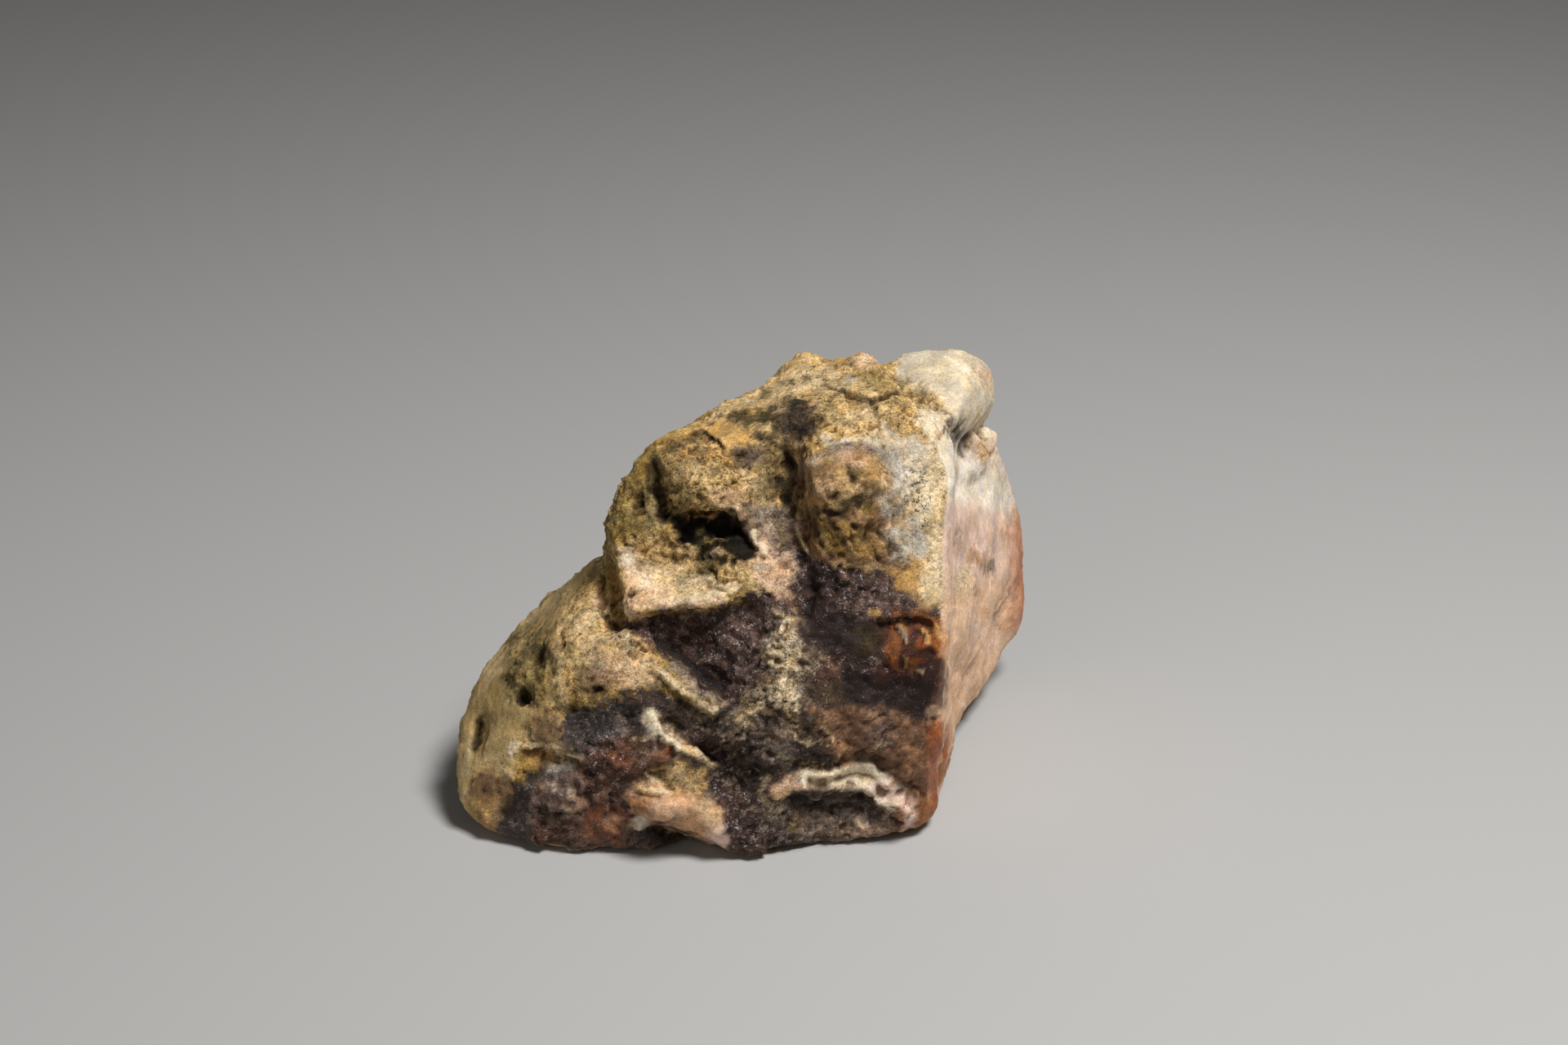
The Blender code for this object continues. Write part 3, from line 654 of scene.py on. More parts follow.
# %% Places on the board, and what is seen
points = carver.points
normals = carver.normals
from_eye = points - np.array(EYE)
depth = from_eye @ np.array(SIGHT)
board = np.stack([
    MIDDLE_ACROSS + EYE_DISTANCE * from_eye[:, 0] / depth,
    MIDDLE_UP + EYE_DISTANCE * (from_eye @ np.array(BOARD_UP)) / depth,
], axis=1)
towards_eye = -from_eye / np.linalg.norm(from_eye, axis=1)[:, None]
facing = (normals * towards_eye).sum(axis=1)
START_CLEAR = 0.25  # rays start this far off the stone, in millimetres
clear = np.zeros(len(points))
for i in np.flatnonzero(facing > 0.02):
    start = Vector(points[i] + START_CLEAR * normals[i])
    clear[i] = carver.tree.ray_cast(start, Vector(towards_eye[i]))[0] is None
seen = carver.spread((clear * ramp(facing, 0.02, 0.16))[:, None], 4)[:, 0]
smooth_normals = carver.spread(normals, 12)
rightward = smooth_normals[:, 0] / np.linalg.norm(smooth_normals, axis=1)
right_side = ramp(rightward, 0.5, 0.72) * ramp(points[:, 0], 19.0, 21.0)
face = seen * (1.0 - right_side)
side = seen * right_side
print("seen by the eye:", round(float(seen.mean()), 3), "of the points")


# %% A wander that breaks up every painted edge
def waves(wavelength, seed, octaves=3):
    """Fractal noise at each point, about -1 to 1."""
    shift = Vector((seed * 17.3, seed * 5.1, seed * 9.7))
    scale = 1.0 / wavelength
    return np.array([noise.fractal(Vector(p) * scale + shift, 0.9, 2.0, octaves) for p in points])


WANDER_BROAD = 0.9
WANDER_FINE = 0.45
drift = WANDER_BROAD * wander(points, 3.2, 1) + WANDER_FINE * wander(points, 0.9, 2)
wandered_board = board + drift[:, [0, 2]]
wandered_points = points + drift
grainy_edge = 0.9 * waves(1.3, 12, 3)
print("wander up to", round(float(np.abs(drift).max()), 2), "mm")

# %% [markdown]
# ## The minerals
# Each mineral is a colour with its own roughness, crumble (how deep its grain stands, in millimetres),
# specks (how much of the low ground between grains is dark: pores and black dots, with painted shade) and
# glints (how many tiny crystal faces are painted as bright highlights).
# Weathered rind is matt and crumbly. Fresh chert is dark, fine and a little waxy.

# %% Minerals: colour, roughness, crumble, specks, glints
MINERALS = {
    "cream": ((0.76, 0.60, 0.40), 0.75, 0.12, 0.15, 0.0),
    "chalk": ((0.84, 0.73, 0.59), 0.80, 0.07, 0.0, 0.0),
    "smooth_cream": ((0.64, 0.555, 0.44), 0.75, 0.06, 0.0, 0.0),
    "tan": ((0.56, 0.40, 0.21), 0.90, 0.18, 0.45, 0.0),
    "tan_crumb": ((0.56, 0.38, 0.19), 0.92, 0.24, 0.65, 0.0),
    "gold": ((0.353, 0.238, 0.088), 0.88, 0.15, 0.35, 0.0),
    "smooth_rind": ((0.42, 0.305, 0.155), 0.85, 0.05, 0.10, 0.0),
    "smooth_tan": ((0.60, 0.46, 0.27), 0.85, 0.06, 0.10, 0.0),
    "olive": ((0.202, 0.156, 0.069), 0.92, 0.18, 0.45, 0.0),
    "dark_olive": ((0.064, 0.048, 0.023), 0.92, 0.18, 0.40, 0.0),
    "orange_plate": ((0.56, 0.36, 0.16), 0.80, 0.08, 0.15, 0.0),
    "manganese": ((0.038, 0.029, 0.022), 0.90, 0.24, 0.50, 0.15),
    "grey_plum": ((0.101, 0.075, 0.066), 0.85, 0.15, 0.35, 0.15),
    "pink_cream": ((0.68, 0.47, 0.34), 0.80, 0.12, 0.15, 0.05),
    "grey_lilac": ((0.294, 0.23, 0.193), 0.75, 0.16, 0.35, 0.35),
    "blue_grey": ((0.526, 0.482, 0.426), 0.70, 0.12, 0.30, 0.15),
    "shoulder_grey": ((0.60, 0.52, 0.42), 0.70, 0.09, 0.25, 0.05),
    "plum": ((0.066, 0.037, 0.032), 0.60, 0.16, 0.30, 0.80),
    "deep_plum": ((0.013, 0.006, 0.004), 0.36, 0.07, 0.0, 0.12),
    # not a mineral: black painted shade, laid in cracks, grooves, pits and the cavity
    "night": ((0.010, 0.007, 0.004), 0.95, 0.14, 0.0, 0.0),
    "red_brown": ((0.092, 0.042, 0.026), 0.60, 0.15, 0.20, 0.50),
    "peppered": ((0.636, 0.55, 0.43), 0.85, 0.12, 1.0, 0.0),
    "brick": ((0.288, 0.092, 0.036), 0.45, 0.08, 0.0, 0.15),
    "maroon": ((0.048, 0.014, 0.008), 0.30, 0.09, 0.0, 0.20),
    "orange_chip": ((0.281, 0.098, 0.025), 0.35, 0.07, 0.0, 0.25),
    "yellow": ((0.49, 0.31, 0.137), 0.50, 0.10, 0.10, 0.05),
    "wax_brown": ((0.179, 0.097, 0.059), 0.50, 0.09, 0.10, 0.25),
    "mauve": ((0.176, 0.12, 0.104), 0.55, 0.12, 0.10, 0.40),
    "purple_wax": ((0.06, 0.047, 0.045), 0.50, 0.11, 0.0, 0.50),
    "peach": ((0.538, 0.328, 0.206), 0.50, 0.07, 0.0, 0.10),
    "moss_crumb": ((0.48, 0.38, 0.27), 0.92, 0.24, 0.50, 0.0),
    "vein_crumb": ((0.80, 0.65, 0.47), 0.92, 0.24, 0.30, 0.0),
    "charcoal": ((0.055, 0.038, 0.032), 0.80, 0.19, 0.30, 0.30),
    "side_white": ((0.80, 0.73, 0.65), 0.60, 0.04, 0.0, 0.0),
    "side_pink": ((0.76, 0.57, 0.50), 0.60, 0.04, 0.0, 0.0),
    "side_peach": ((0.78, 0.54, 0.39), 0.60, 0.05, 0.0, 0.0),
    "red_rim": ((0.50, 0.21, 0.12), 0.55, 0.05, 0.0, 0.0),
}
print(len(MINERALS), "minerals")


# %% The painter
class Painter:
    """Holds the mineral at each point: colour, roughness, crumble, specks and glints in one array."""

    def __init__(self, base):
        self.coats = np.tile(self.values(base), (len(points), 1))

    def values(self, mineral):
        colour, *rest = MINERALS[mineral]
        return np.array([*colour, *rest])

    def coat(self, weight, mineral):
        self.coats += weight[:, None] * (self.values(mineral) - self.coats)

    def area(self, outline, mineral, strength, soft, where):
        """Fill an outline on the board, with an edge that is soft over this many millimetres."""
        within = grainy_edge - outline_distance(outline)
        self.coat(strength * where * ramp(within, -soft, soft), mineral)

    def dab(self, place, size, mineral, strength, where, soft=0.5):
        """A round or oval spot: on the board for two numbers, in space for three."""
        if len(place) == 2:
            away = np.linalg.norm((wandered_board - place) / size, axis=1)
        else:
            away = np.linalg.norm((wandered_points - place) / size, axis=1)
        away += 0.4 * grainy_edge
        self.coat(strength * where * (1.0 - ramp(away, 1.0 - soft, 1.0 + soft)), mineral)

    def streak(self, path, width, mineral, strength, where, soft=0.5):
        """A line on the board."""
        away = line_distance(path, board + 0.3 * drift[:, [0, 2]]) / width
        self.coat(strength * where * (1.0 - ramp(away, 1.0 - soft, 1.0 + soft)), mineral)

    def fill(self, stroke, where, rows):
        """One kind of stroke for each row of a table."""
        for row in rows:
            stroke(*row, where=where)
        print(len(rows), stroke.__name__, "strokes")


def line_distance(path, places):
    best = np.full(len(places), np.inf)
    for start, end in zip(np.array(path[:-1], float), np.array(path[1:], float)):
        step = end - start
        along = np.clip((places - start) @ step / (step @ step), 0.0, 1.0)
        best = np.minimum(best, np.linalg.norm(places - start - along[:, None] * step, axis=1))
    return best


def outline_distance(outline):
    """Distance from the outline for each point, negative inside it."""
    closed = outline + outline[:1]
    across, up = wandered_board.T
    crossed = np.zeros(len(across), bool)
    for (a, b), (c, d) in zip(closed[:-1], closed[1:]):
        if b != d:
            crossed ^= ((b > up) != (d > up)) & (across < a + (up - b) / (d - b) * (c - a))
    return np.where(crossed, -1.0, 1.0) * line_distance(closed, wandered_board)


painter = Painter("tan")
print("painter holds", painter.coats.shape[1], "values for each of", len(painter.coats), "points")

# %% [markdown]
# ## Broad coats all round
# The stone lay in soil, so its back and left wear a tan and gold rind with olive damp patches. The right side
# is an old break: pale and pink silica above, peach below, with a red rim where iron soaked in. Noise with a
# wavelength of five to eleven millimetres decides where each coat is thick, as damp and iron do.

# %% Coat the whole stone
broad = waves(11.0, 1)
middle = waves(5.0, 2)
painter.coat(ramp(broad + 0.4 * middle, 0.0, 0.5), "gold")
painter.coat(0.8 * ramp(waves(7.0, 3) + 0.3 * middle, 0.25, 0.6), "olive")
painter.coat(0.75 * ramp(waves(8.0, 4), 0.2, 0.6), "cream")
painter.coat(0.6 * ramp(waves(6.0, 5), 0.3, 0.6), "pink_cream")
height = points[:, 2]
painter.coat(0.8 * ramp(waves(9.0, 6) + 0.02 * (14 - height), 0.25, 0.6), "grey_lilac")
painter.coat(right_side, "side_white")
painter.coat(right_side * ramp(36 - height + 4 * broad, -3, 3), "side_pink")
painter.coat(right_side * ramp(26 - height + 5 * broad, -4, 4), "side_peach")
painter.coat(0.5 * right_side * ramp(waves(8.0, 7), 0.25, 0.5), "red_rim")
print("mean colour:", [round(float(c), 2) for c in painter.coats[:, :3].mean(axis=0)])

# %% Back and far sides: place in space, size, mineral, strength
BACK_PATCHES = [
    ((34, 16, 12), (5, 8, 9), "red_rim", 0.9),
    ((33, 17, 26), (4, 6, 8), "red_rim", 0.7),
    ((30, 4, 10), (6, 7, 6), "side_peach", 0.9),
    ((10, 26, 14), (10, 6, 6), "plum", 0.85),
    ((18, 25, 20), (7, 5, 4), "purple_wax", 0.8),
    ((2, 25, 20), (6, 5, 3), "wax_brown", 0.8),
    ((24, 22, 30), (7, 6, 5), "side_pink", 0.9),
    ((14, 20, 38), (8, 6, 5), "cream", 0.8),
    ((-4, 20, 30), (7, 6, 4), "tan_crumb", 0.8),
    ((-14, 13, 24), (7, 6, 4), "orange_plate", 0.6),
    ((-20, 10, 10), (8, 6, 6), "olive", 0.7),
    ((-8, 18, 8), (7, 5, 5), "grey_lilac", 0.8),
    ((-30, -6, 8), (5, 6, 4), "gold", 0.7),
    ((-28, 0, 14), (4, 5, 3), "dark_olive", 0.5),
    ((22, 10, 48), (7, 8, 4), "cream", 0.9),
    ((12, 6, 48), (5, 5, 3), "tan", 0.8),
    ((4, 8, 46), (4, 4, 3), "orange_plate", 0.5),
]

for place, size, mineral, strength in BACK_PATCHES:
    painter.dab(place, size, mineral, strength, 1.0, soft=0.35)
print(len(BACK_PATCHES), "patches on the far sides")

# %% [markdown]
# ## The top and the knob
# The upper part is rind: tan crumbs with black manganese dots, a smooth orange plate, a black crust and cream
# where it has been rubbed. Noise alone couldn't put each of these where it belongs, so they are painted in
# three tables: areas first, then spots, then streaks, each over the last, as one would with a brush.

# %% Areas of the top: outline, mineral, strength, softness
painter.fill(painter.area, seen, [
    ([(-4, 47.8), (-1, 51), (2, 53.5), (5, 56), (16, 57), (17.5, 53.5), (16.5, 51), (8, 50.8), (1, 49.2)],
     "tan", 1.0, 0.6),
    ([(-4.4, 47.6), (-3.6, 49.5), (0.5, 52), (1, 50.6), (-1.6, 48.6)], "cream", 0.5, 0.5),
    ([(-2, 48.6), (0.6, 49.6), (3, 49.4), (2.6, 47.8), (-1.4, 47.4)], "olive", 0.8, 0.6),
    ([(-1, 49.4), (1.5, 52), (6, 54.4), (10, 53.8), (10, 52), (4, 50.6)], "cream", 0.55, 0.7),
    ([(-11, 45), (-5, 47.4), (-3, 44.8), (0, 42), (0.8, 39), (-1, 37.4), (-4, 36.6), (-8.4, 36.6),
      (-9.6, 40)],
     "tan_crumb", 1.0, 0.6),
    ([(-12.5, 44.6), (-10, 46.8), (-5, 47.8), (-4.8, 46.4), (-8, 45.6), (-10.8, 43.8)], "gold", 0.7, 0.5),
    ([(-6.4, 42.6), (-3.4, 43.2), (-0.6, 41), (-1.4, 38), (-4.4, 38.4)], "tan", 0.9, 0.8),
    ([(-9.6, 41), (-7, 41), (-5, 37.4), (-8.6, 36.4)], "olive", 0.6, 0.9),
    ([(-10.6, 44.4), (-8.4, 44.8), (-7.2, 41), (-9.4, 39.6)], "olive", 0.6, 0.8),
    ([(8.3, 49.2), (10, 51.2), (16.6, 51.4), (20.6, 50.2), (23, 46.6), (20, 45.4), (15.4, 45.6), (9, 45.8)],
     "tan", 1.0, 0.6),
    ([(9, 49), (14, 50), (15.6, 47.4), (10, 46.6)], "cream", 0.35, 0.9),
    ([(15, 49.8), (19.6, 49.4), (19.4, 46.4), (15.4, 46)], "tan_crumb", 0.75, 0.7),
    ([(16.4, 52.6), (17, 56), (20, 57), (25, 57), (28.5, 54), (29, 49), (26.6, 45.6), (23.4, 47),
      (21, 50.5)],
     "smooth_cream", 1.0, 0.5),
    ([(15.6, 53), (20, 52.2), (20.6, 50), (16, 50.4)], "olive", 0.45, 0.8),
    # painted light: the side of the slab that falls in shade is painted pale chalk
    ([(24.6, 50.5), (27.4, 51), (28.4, 47), (26, 45), (24.4, 46.4)], "chalk", 0.8, 1.2),
    ([(18.6, 48.8), (21.6, 49.2), (23.6, 46.6), (22, 44.4), (19.4, 45.2)], "chalk", 0.8, 0.7),
    ([(2.2, 48.6), (4.4, 50.1), (7, 50.1), (8.4, 48.9), (8.3, 47.2), (7.3, 45.7), (4.6, 45.4), (2.8, 46.6)],
     "manganese", 0.95, 0.9),
    ([(-2.4, 48.2), (0.4, 49.3), (2.8, 49.3), (3.2, 47.8), (1.4, 47.5),
      (-0.4, 47.3)], "dark_olive", 0.8, 0.5),
    ([(-0.2, 46.8), (2.6, 46.8), (6.6, 45.5), (7, 43.9), (5.2, 42.2), (3.8, 38.4), (1.4, 39.4),
      (0.8, 41.8), (1.4, 44.6)],
     "dark_olive", 0.62, 0.8),
    ([(-4.8, 46.7), (-3.8, 47.9), (-1.8, 47.6), (0.4, 46.6), (1, 45.3), (0.2, 44.6), (-1.8, 44.9),
      (-3.3, 45.2)],
     "orange_plate", 0.95, 0.35),
    ([(-15.6, 34), (-15.8, 38), (-13.4, 44), (-10.6, 46), (-10, 41), (-9.2, 36.8),
      (-10.6, 35)], "olive", 0.75, 0.6),
    ([(-15.4, 37), (-13.6, 43), (-11.6, 44), (-11.2, 40), (-12.6, 36)], "gold", 0.5, 0.8),
    ([(-15.6, 34.4), (-14.6, 37), (-11.4, 36.8), (-11, 34.6)], "gold", 0.8, 0.7),
])

# %% Spots of the top: place, size, mineral, strength
painter.fill(painter.dab, seen, [
    ((7, 55.4), (1.2, 0.9), "orange_plate", 0.7),
    ((9.8, 55.1), (1.3, 0.8), "orange_plate", 0.5),
    ((12.8, 55.2), (2.0, 1.1), "pink_cream", 0.6),
    ((5.2, 54), (1.0, 0.7), "orange_plate", 0.6),
    ((11, 52.4), (1.0, 0.5), "blue_grey", 0.8),
    ((14, 52.6), (2.4, 0.6), "olive", 0.6),
    ((4.2, 52.2), (0.7, 0.4), "dark_olive", 0.6),
    ((6.8, 52.6), (0.8, 0.4), "olive", 0.7),
    ((2.2, 51), (0.6, 0.4), "olive", 0.7),
    ((8.4, 53.2), (0.7, 0.3), "dark_olive", 0.5),
    ((0, 43.8), (1.5, 1.2), "grey_plum", 0.9),
    ((-5.8, 45.9), (1.4, 0.5), "dark_olive", 0.85),
    ((-8.7, 44.8), (0.9, 0.5), "dark_olive", 0.8),
    ((-7.6, 45.4), (0.6, 0.4), "manganese", 0.7),
    ((-5.8, 43.6), (0.8, 0.6), "dark_olive", 0.7),
    ((-3.4, 42.2), (0.5, 0.5), "dark_olive", 0.6),
    ((-2.6, 39.3), (1.8, 1.2), "pink_cream", 0.6),
    ((-1.8, 37.8), (0.8, 0.8), "cream", 0.7),
    ((-6.6, 42.6), (1.2, 1.4), "cream", 0.4),
    # The black spots here lie in pits and hollows: painted shade.
    ((3.4, 41.2), (0.8, 0.7), "night", 0.9),
    ((4.1, 42.8), (0.8, 0.6), "night", 0.8),
    ((4, 39.1), (0.7, 0.9), "night", 0.9),
    ((3.7, 37.4), (0.5, 0.9), "dark_olive", 0.8),
    ((1.4, 45.9), (0.6, 0.4), "night", 0.8),
    ((5.8, 46.8), (1.0, 0.8), "night", 0.5),
    ((21, 46.2), (0.8, 0.5), "orange_chip", 0.4),
    ((15.4, 46.6), (0.5, 0.8), "chalk", 0.8),
    ((26.6, 53), (1.2, 1.6), "pink_cream", 0.6),
    # painted shade: dark in the crease beside the slab
    ((22.9, 46.8), (0.7, 0.9), "dark_olive", 0.8),
    ((25.8, 44.2), (1.3, 1.3), "yellow", 0.6),
    # These three dark spots lie in a nick and in the knob's grooves: painted shade.
    ((15.2, 44.9), (0.5, 0.25), "dark_olive", 0.8),
    ((-10.4, 43.2), (0.5, 0.9), "dark_olive", 0.8),
    ((-12, 38.6), (0.6, 1.2), "dark_olive", 0.8),
])

# %% Streaks of the top: path, width, mineral, strength
painter.fill(painter.streak, seen, [
    # The black and dark olive streaks lie in cracks and grooves: painted shade.
    ([(-4.8, 46.6), (-4, 45.9), (-3.4, 45.5), (-3, 45.1), (-2.5, 44.7)], 0.22, "night", 0.9),
    (FURROWS["knob_groove"][0], 0.5, "night", 0.8),
    (FURROWS["knob_slot"][0], 0.4, "night", 0.7),
    (FURROWS["top_crack"][0], 0.4, "night", 0.75),
    (FURROWS["top_crack_branch"][0], 0.3, "dark_olive", 0.8),
    (FURROWS["top_crack_left"][0], 0.35, "dark_olive", 0.7),
    ([(-9.8, 45.9), (-7, 46.6), (-5, 47.3)], 0.4, "orange_plate", 0.6),
    (FURROWS["valley_crack"][0], 0.5, "night", 0.6),
])


# %% [markdown]
# ## The nose and the right shoulder
# Under the top sticks out a nose of tougher silica: a pale rim, brown lumps and gold-brown flutes below. To
# its right the shoulder is smooth and grey, and goes over into a peppered patch and a yellow band. The flutes
# get gold streaks, and dark streaks of painted shade beside them, because their shadows alone would be too
# faint.

# %% Areas of the nose and shoulder: outline, mineral, strength, softness
painter.fill(painter.area, face, [
    ([(6, 43.6), (8, 45), (13.6, 45.6), (16, 44.6), (15, 43.6), (10, 43.8)], "gold", 0.8, 0.8),
    ([(9, 45.4), (11, 46.2), (14, 46.4), (18.4, 46.2), (21, 44), (21.4, 40), (19, 39), (16.6, 40),
      (15.8, 43), (13.5, 44.8)],
     "shoulder_grey", 1.0, 0.6),
    ([(16, 44.6), (18.6, 44.4), (18.2, 41), (16, 39.6), (15.4, 42)], "blue_grey", 0.8, 0.7),
    ([(17.2, 43.4), (20, 43.8), (21.4, 41), (20.8, 37.4), (18.7, 35.8),
      (17.2, 38.4)], "peppered", 0.6, 0.7),
    ([(5.2, 42), (6.5, 43.6), (10, 44.6), (13.8, 44.5), (15.7, 42.2), (16, 39), (14.6, 36.8), (10, 36.4),
      (6.8, 37.3), (5.5, 39.8)],
     "wax_brown", 0.9, 0.9),
    ([(7, 42.6), (10, 43.4), (14.4, 43), (14.6, 39), (9.6, 37.8), (7, 38.6)], "tan", 0.6, 0.9),
    ([(5.8, 37.6), (10, 36.8), (15, 37.3), (17.6, 35.6), (16.6, 32.2), (12, 31), (7.5, 30.8), (6.2, 33)],
     "wax_brown", 0.85, 0.7),
    ([(8, 36.6), (13, 36.2), (15.4, 33.4), (11, 32.4), (8, 33.4)], "gold", 0.5, 0.9),
    ([(15.4, 38.6), (19, 36.6), (20.8, 34), (20.4, 31.8), (16.4, 32), (15.2, 34.6)], "blue_grey", 0.8, 0.7),
    ([(14.6, 40.2), (16.4, 40.2), (17.4, 37.6), (15.4, 37)], "grey_lilac", 0.6, 0.6),
    ([(14, 31.4), (17, 31.9), (20.9, 32.4), (21.2, 29.6), (19.6, 27.7), (16.2, 28.9)], "yellow", 0.95, 0.7),
    ([(19.9, 44.2), (22, 43.4), (21.8, 36), (21.6, 30), (20.4, 30), (20.2, 36),
      (19.9, 41)], "cream", 0.85, 0.5),
])

# %% Spots of the nose and shoulder: place, size, mineral, strength
painter.fill(painter.dab, face, [
    ((9, 40.3), (1.5, 1.4), "pink_cream", 0.35),
    ((8, 38.6), (1.0, 0.9), "orange_plate", 0.35),
    ((13.9, 41.4), (1.2, 0.9), "yellow", 0.9),
    ((14.6, 41), (0.5, 0.5), "cream", 0.8),
    ((11.4, 43.6), (1.6, 0.6), "pink_cream", 0.6),
    ((8, 43.8), (1.6, 0.5), "cream", 0.5),
    # The next three spots darken a crack and two holes of the nose: painted shade.
    ((11.6, 41.7), (0.7, 0.9), "night", 0.7),
    ((12.4, 38.9), (1.5, 0.9), "dark_olive", 0.85),
    ((10.2, 37.2), (1.2, 0.5), "night", 0.6),
    ((8.2, 41.6), (0.9, 0.5), "red_brown", 0.5),
    ((10.2, 39.2), (0.7, 1.0), "olive", 0.6),
    ((13.4, 38), (1.0, 0.7), "gold", 0.6),
    ((7.2, 37.6), (0.8, 0.5), "dark_olive", 0.6),
    ((5.6, 39.6), (0.7, 1.8), "dark_olive", 0.7),
    ((16.8, 35.7), (1.4, 0.6), "orange_plate", 0.7),
    ((15.6, 38.9), (0.8, 0.8), "blue_grey", 0.7),
    ((16.6, 31.9), (1.6, 0.9), "grey_plum", 0.5),
    ((18.4, 30.2), (1.6, 1.0), "yellow", 0.95),
    ((20.2, 29.8), (1.0, 1.6), "cream", 0.9),
    ((20.9, 33), (0.5, 2.4), "cream", 0.7),
    ((19.4, 38.4), (1.2, 2.6), "peppered", 0.9),
    ((19.6, 41.6), (0.9, 1.6), "peppered", 0.6),
])

# %% Streaks of the nose and shoulder: path, width, mineral, strength
painter.fill(painter.streak, face, [
    ([(5.2, 41.8), (6.3, 43.3), (8, 44.3), (10.5, 44.8), (13.5, 44.8), (15.2, 44)], 0.5, "grey_lilac", 0.6),
    # The black and dark olive streaks lie along a crack and the flutes: painted shade.
    (FURROWS["nose_low_crack"][0], 0.35, "night", 0.6),
    ([(6.8, 37), (8, 34.8), (9.4, 32.4)], 0.35, "night", 0.6),
    ([(9.2, 36.8), (10.6, 34.6), (11.8, 32.4)], 0.35, "night", 0.6),
    ([(11.8, 36.2), (13.2, 34.4), (14.4, 32.6)], 0.35, "night", 0.55),
    ([(14, 36), (15.2, 34.2), (15.8, 33)], 0.3, "dark_olive", 0.6),
    ([(8, 37), (9.4, 34.8), (10.4, 33)], 0.35, "gold", 0.6),
    ([(10.6, 36.6), (12, 34.8), (13, 33)], 0.35, "gold", 0.6),
])


# %% [markdown]
# ## The shelf and the cavity
# A cream shelf runs across the face under a black cavity. Its lip is nearly white, with a red-brown stain
# just under the edge. A pink-white tooth hangs at the cavity's right end. The cavity is painted black as well
# as carved: painted shade, since the carving alone leaves it too light.

# %% Areas of the shelf and cavity: outline, mineral, strength, softness
painter.fill(painter.area, face, [
    ([(-15.8, 33.6), (-11.5, 35.4), (-8, 34.4), (-5.5, 33), (-1, 31.8), (2.4, 31.2), (2.8, 29.2),
      (0, 28.3), (-3, 27.3), (-8, 26.7), (-12, 26.2), (-15.4, 25.6)],
     "tan", 1.0, 0.5),
    ([(-12.6, 32.4), (-5, 31.2), (-1.6, 29.6), (-2.4, 27.4), (-8, 26.7), (-12, 26.6)], "cream", 0.9, 0.6),
    ([(-14.8, 33.4), (-12.6, 33.2), (-10.4, 30), (-8, 28.6), (-9, 26.8),
      (-13.8, 26.4)], "pink_cream", 0.7, 0.7),
    ([(-16.6, 31.2), (-15, 33), (-14.3, 29), (-14.5, 25.8), (-15.8, 24.8)], "gold", 0.75, 0.4),
    ([(-0.5, 38.4), (3.4, 38.2), (5.3, 36.6), (7, 33), (6.4, 29), (4.8, 26.4), (2.6, 28.4), (1.4, 29.6),
      (1, 33)],
     "grey_lilac", 0.9, 0.6),
    ([(0.4, 33.4), (5.6, 33.4), (5.4, 27.2), (2.4, 27.4), (0.4, 28.6)], "pink_cream", 0.85, 1.0),
    # The black areas here fill the cavity with painted shade.
    ([(-8.6, 36.8), (-5, 37.6), (-1.8, 37.4), (0.4, 35.2), (1.6, 32.6), (-1, 31.9), (-3.2, 33),
      (-5.8, 33.2), (-7.8, 34.8)],
     "night", 1.0, 0.4),
    ([(-6.2, 33.6), (-3.4, 34.6), (-1.6, 32.4), (-3.4, 30.6), (-6, 31)], "olive", 0.85, 0.5),
    ([(-6.6, 34), (-3, 34.8), (-0.8, 33.4), (-2.4, 32.4), (-5.4, 32.8)], "dark_olive", 0.7, 0.7),
    ([(-6, 35.4), (-2.4, 36), (-1.2, 33.4), (-2.6, 32), (-5.6, 32.6)], "night", 0.6, 0.6),
])

# %% Spots of the shelf and cavity: place, size, mineral, strength
painter.fill(painter.dab, face, [
    ((-13.6, 32.2), (1.0, 1.2), "chalk", 0.7),
    ((-11.8, 30.4), (1.2, 1.0), "chalk", 0.55),
    ((-9.4, 27.8), (1.6, 0.6), "chalk", 0.45),
    ((-5.6, 28), (1.8, 0.5), "chalk", 0.45),
    # black in the shelf pit: painted shade
    ((-12.9, 28.7), (0.5, 0.4), "night", 0.8),
    ((-7, 30.6), (0.8, 0.5), "olive", 0.5),
    ((-3.4, 29.4), (0.8, 0.5), "dark_olive", 0.6),
    ((-1, 28.5), (0.9, 0.5), "gold", 0.8),
    ((0.5, 29.1), (0.7, 0.4), "gold", 0.7),
    ((4, 27.5), (0.8, 0.8), "red_brown", 0.5),
    ((1.5, 31.4), (0.8, 0.6), "blue_grey", 0.7),
    ((-5.3, 35.9), (0.6, 0.5), "olive", 0.7),
    # black in the cavity's right end: painted shade
    ((-0.9, 33.7), (1.4, 0.8), "night", 0.95),
    ((-3.6, 33), (0.8, 0.6), "moss_crumb", 0.6),
    ((-4.8, 34.3), (0.6, 0.6), "olive", 0.8),
    ((-7.2, 25.8), (0.7, 0.5), "chalk", 0.8),
    ((-14.2, 35.4), (1.6, 0.9), "gold", 0.6),
])

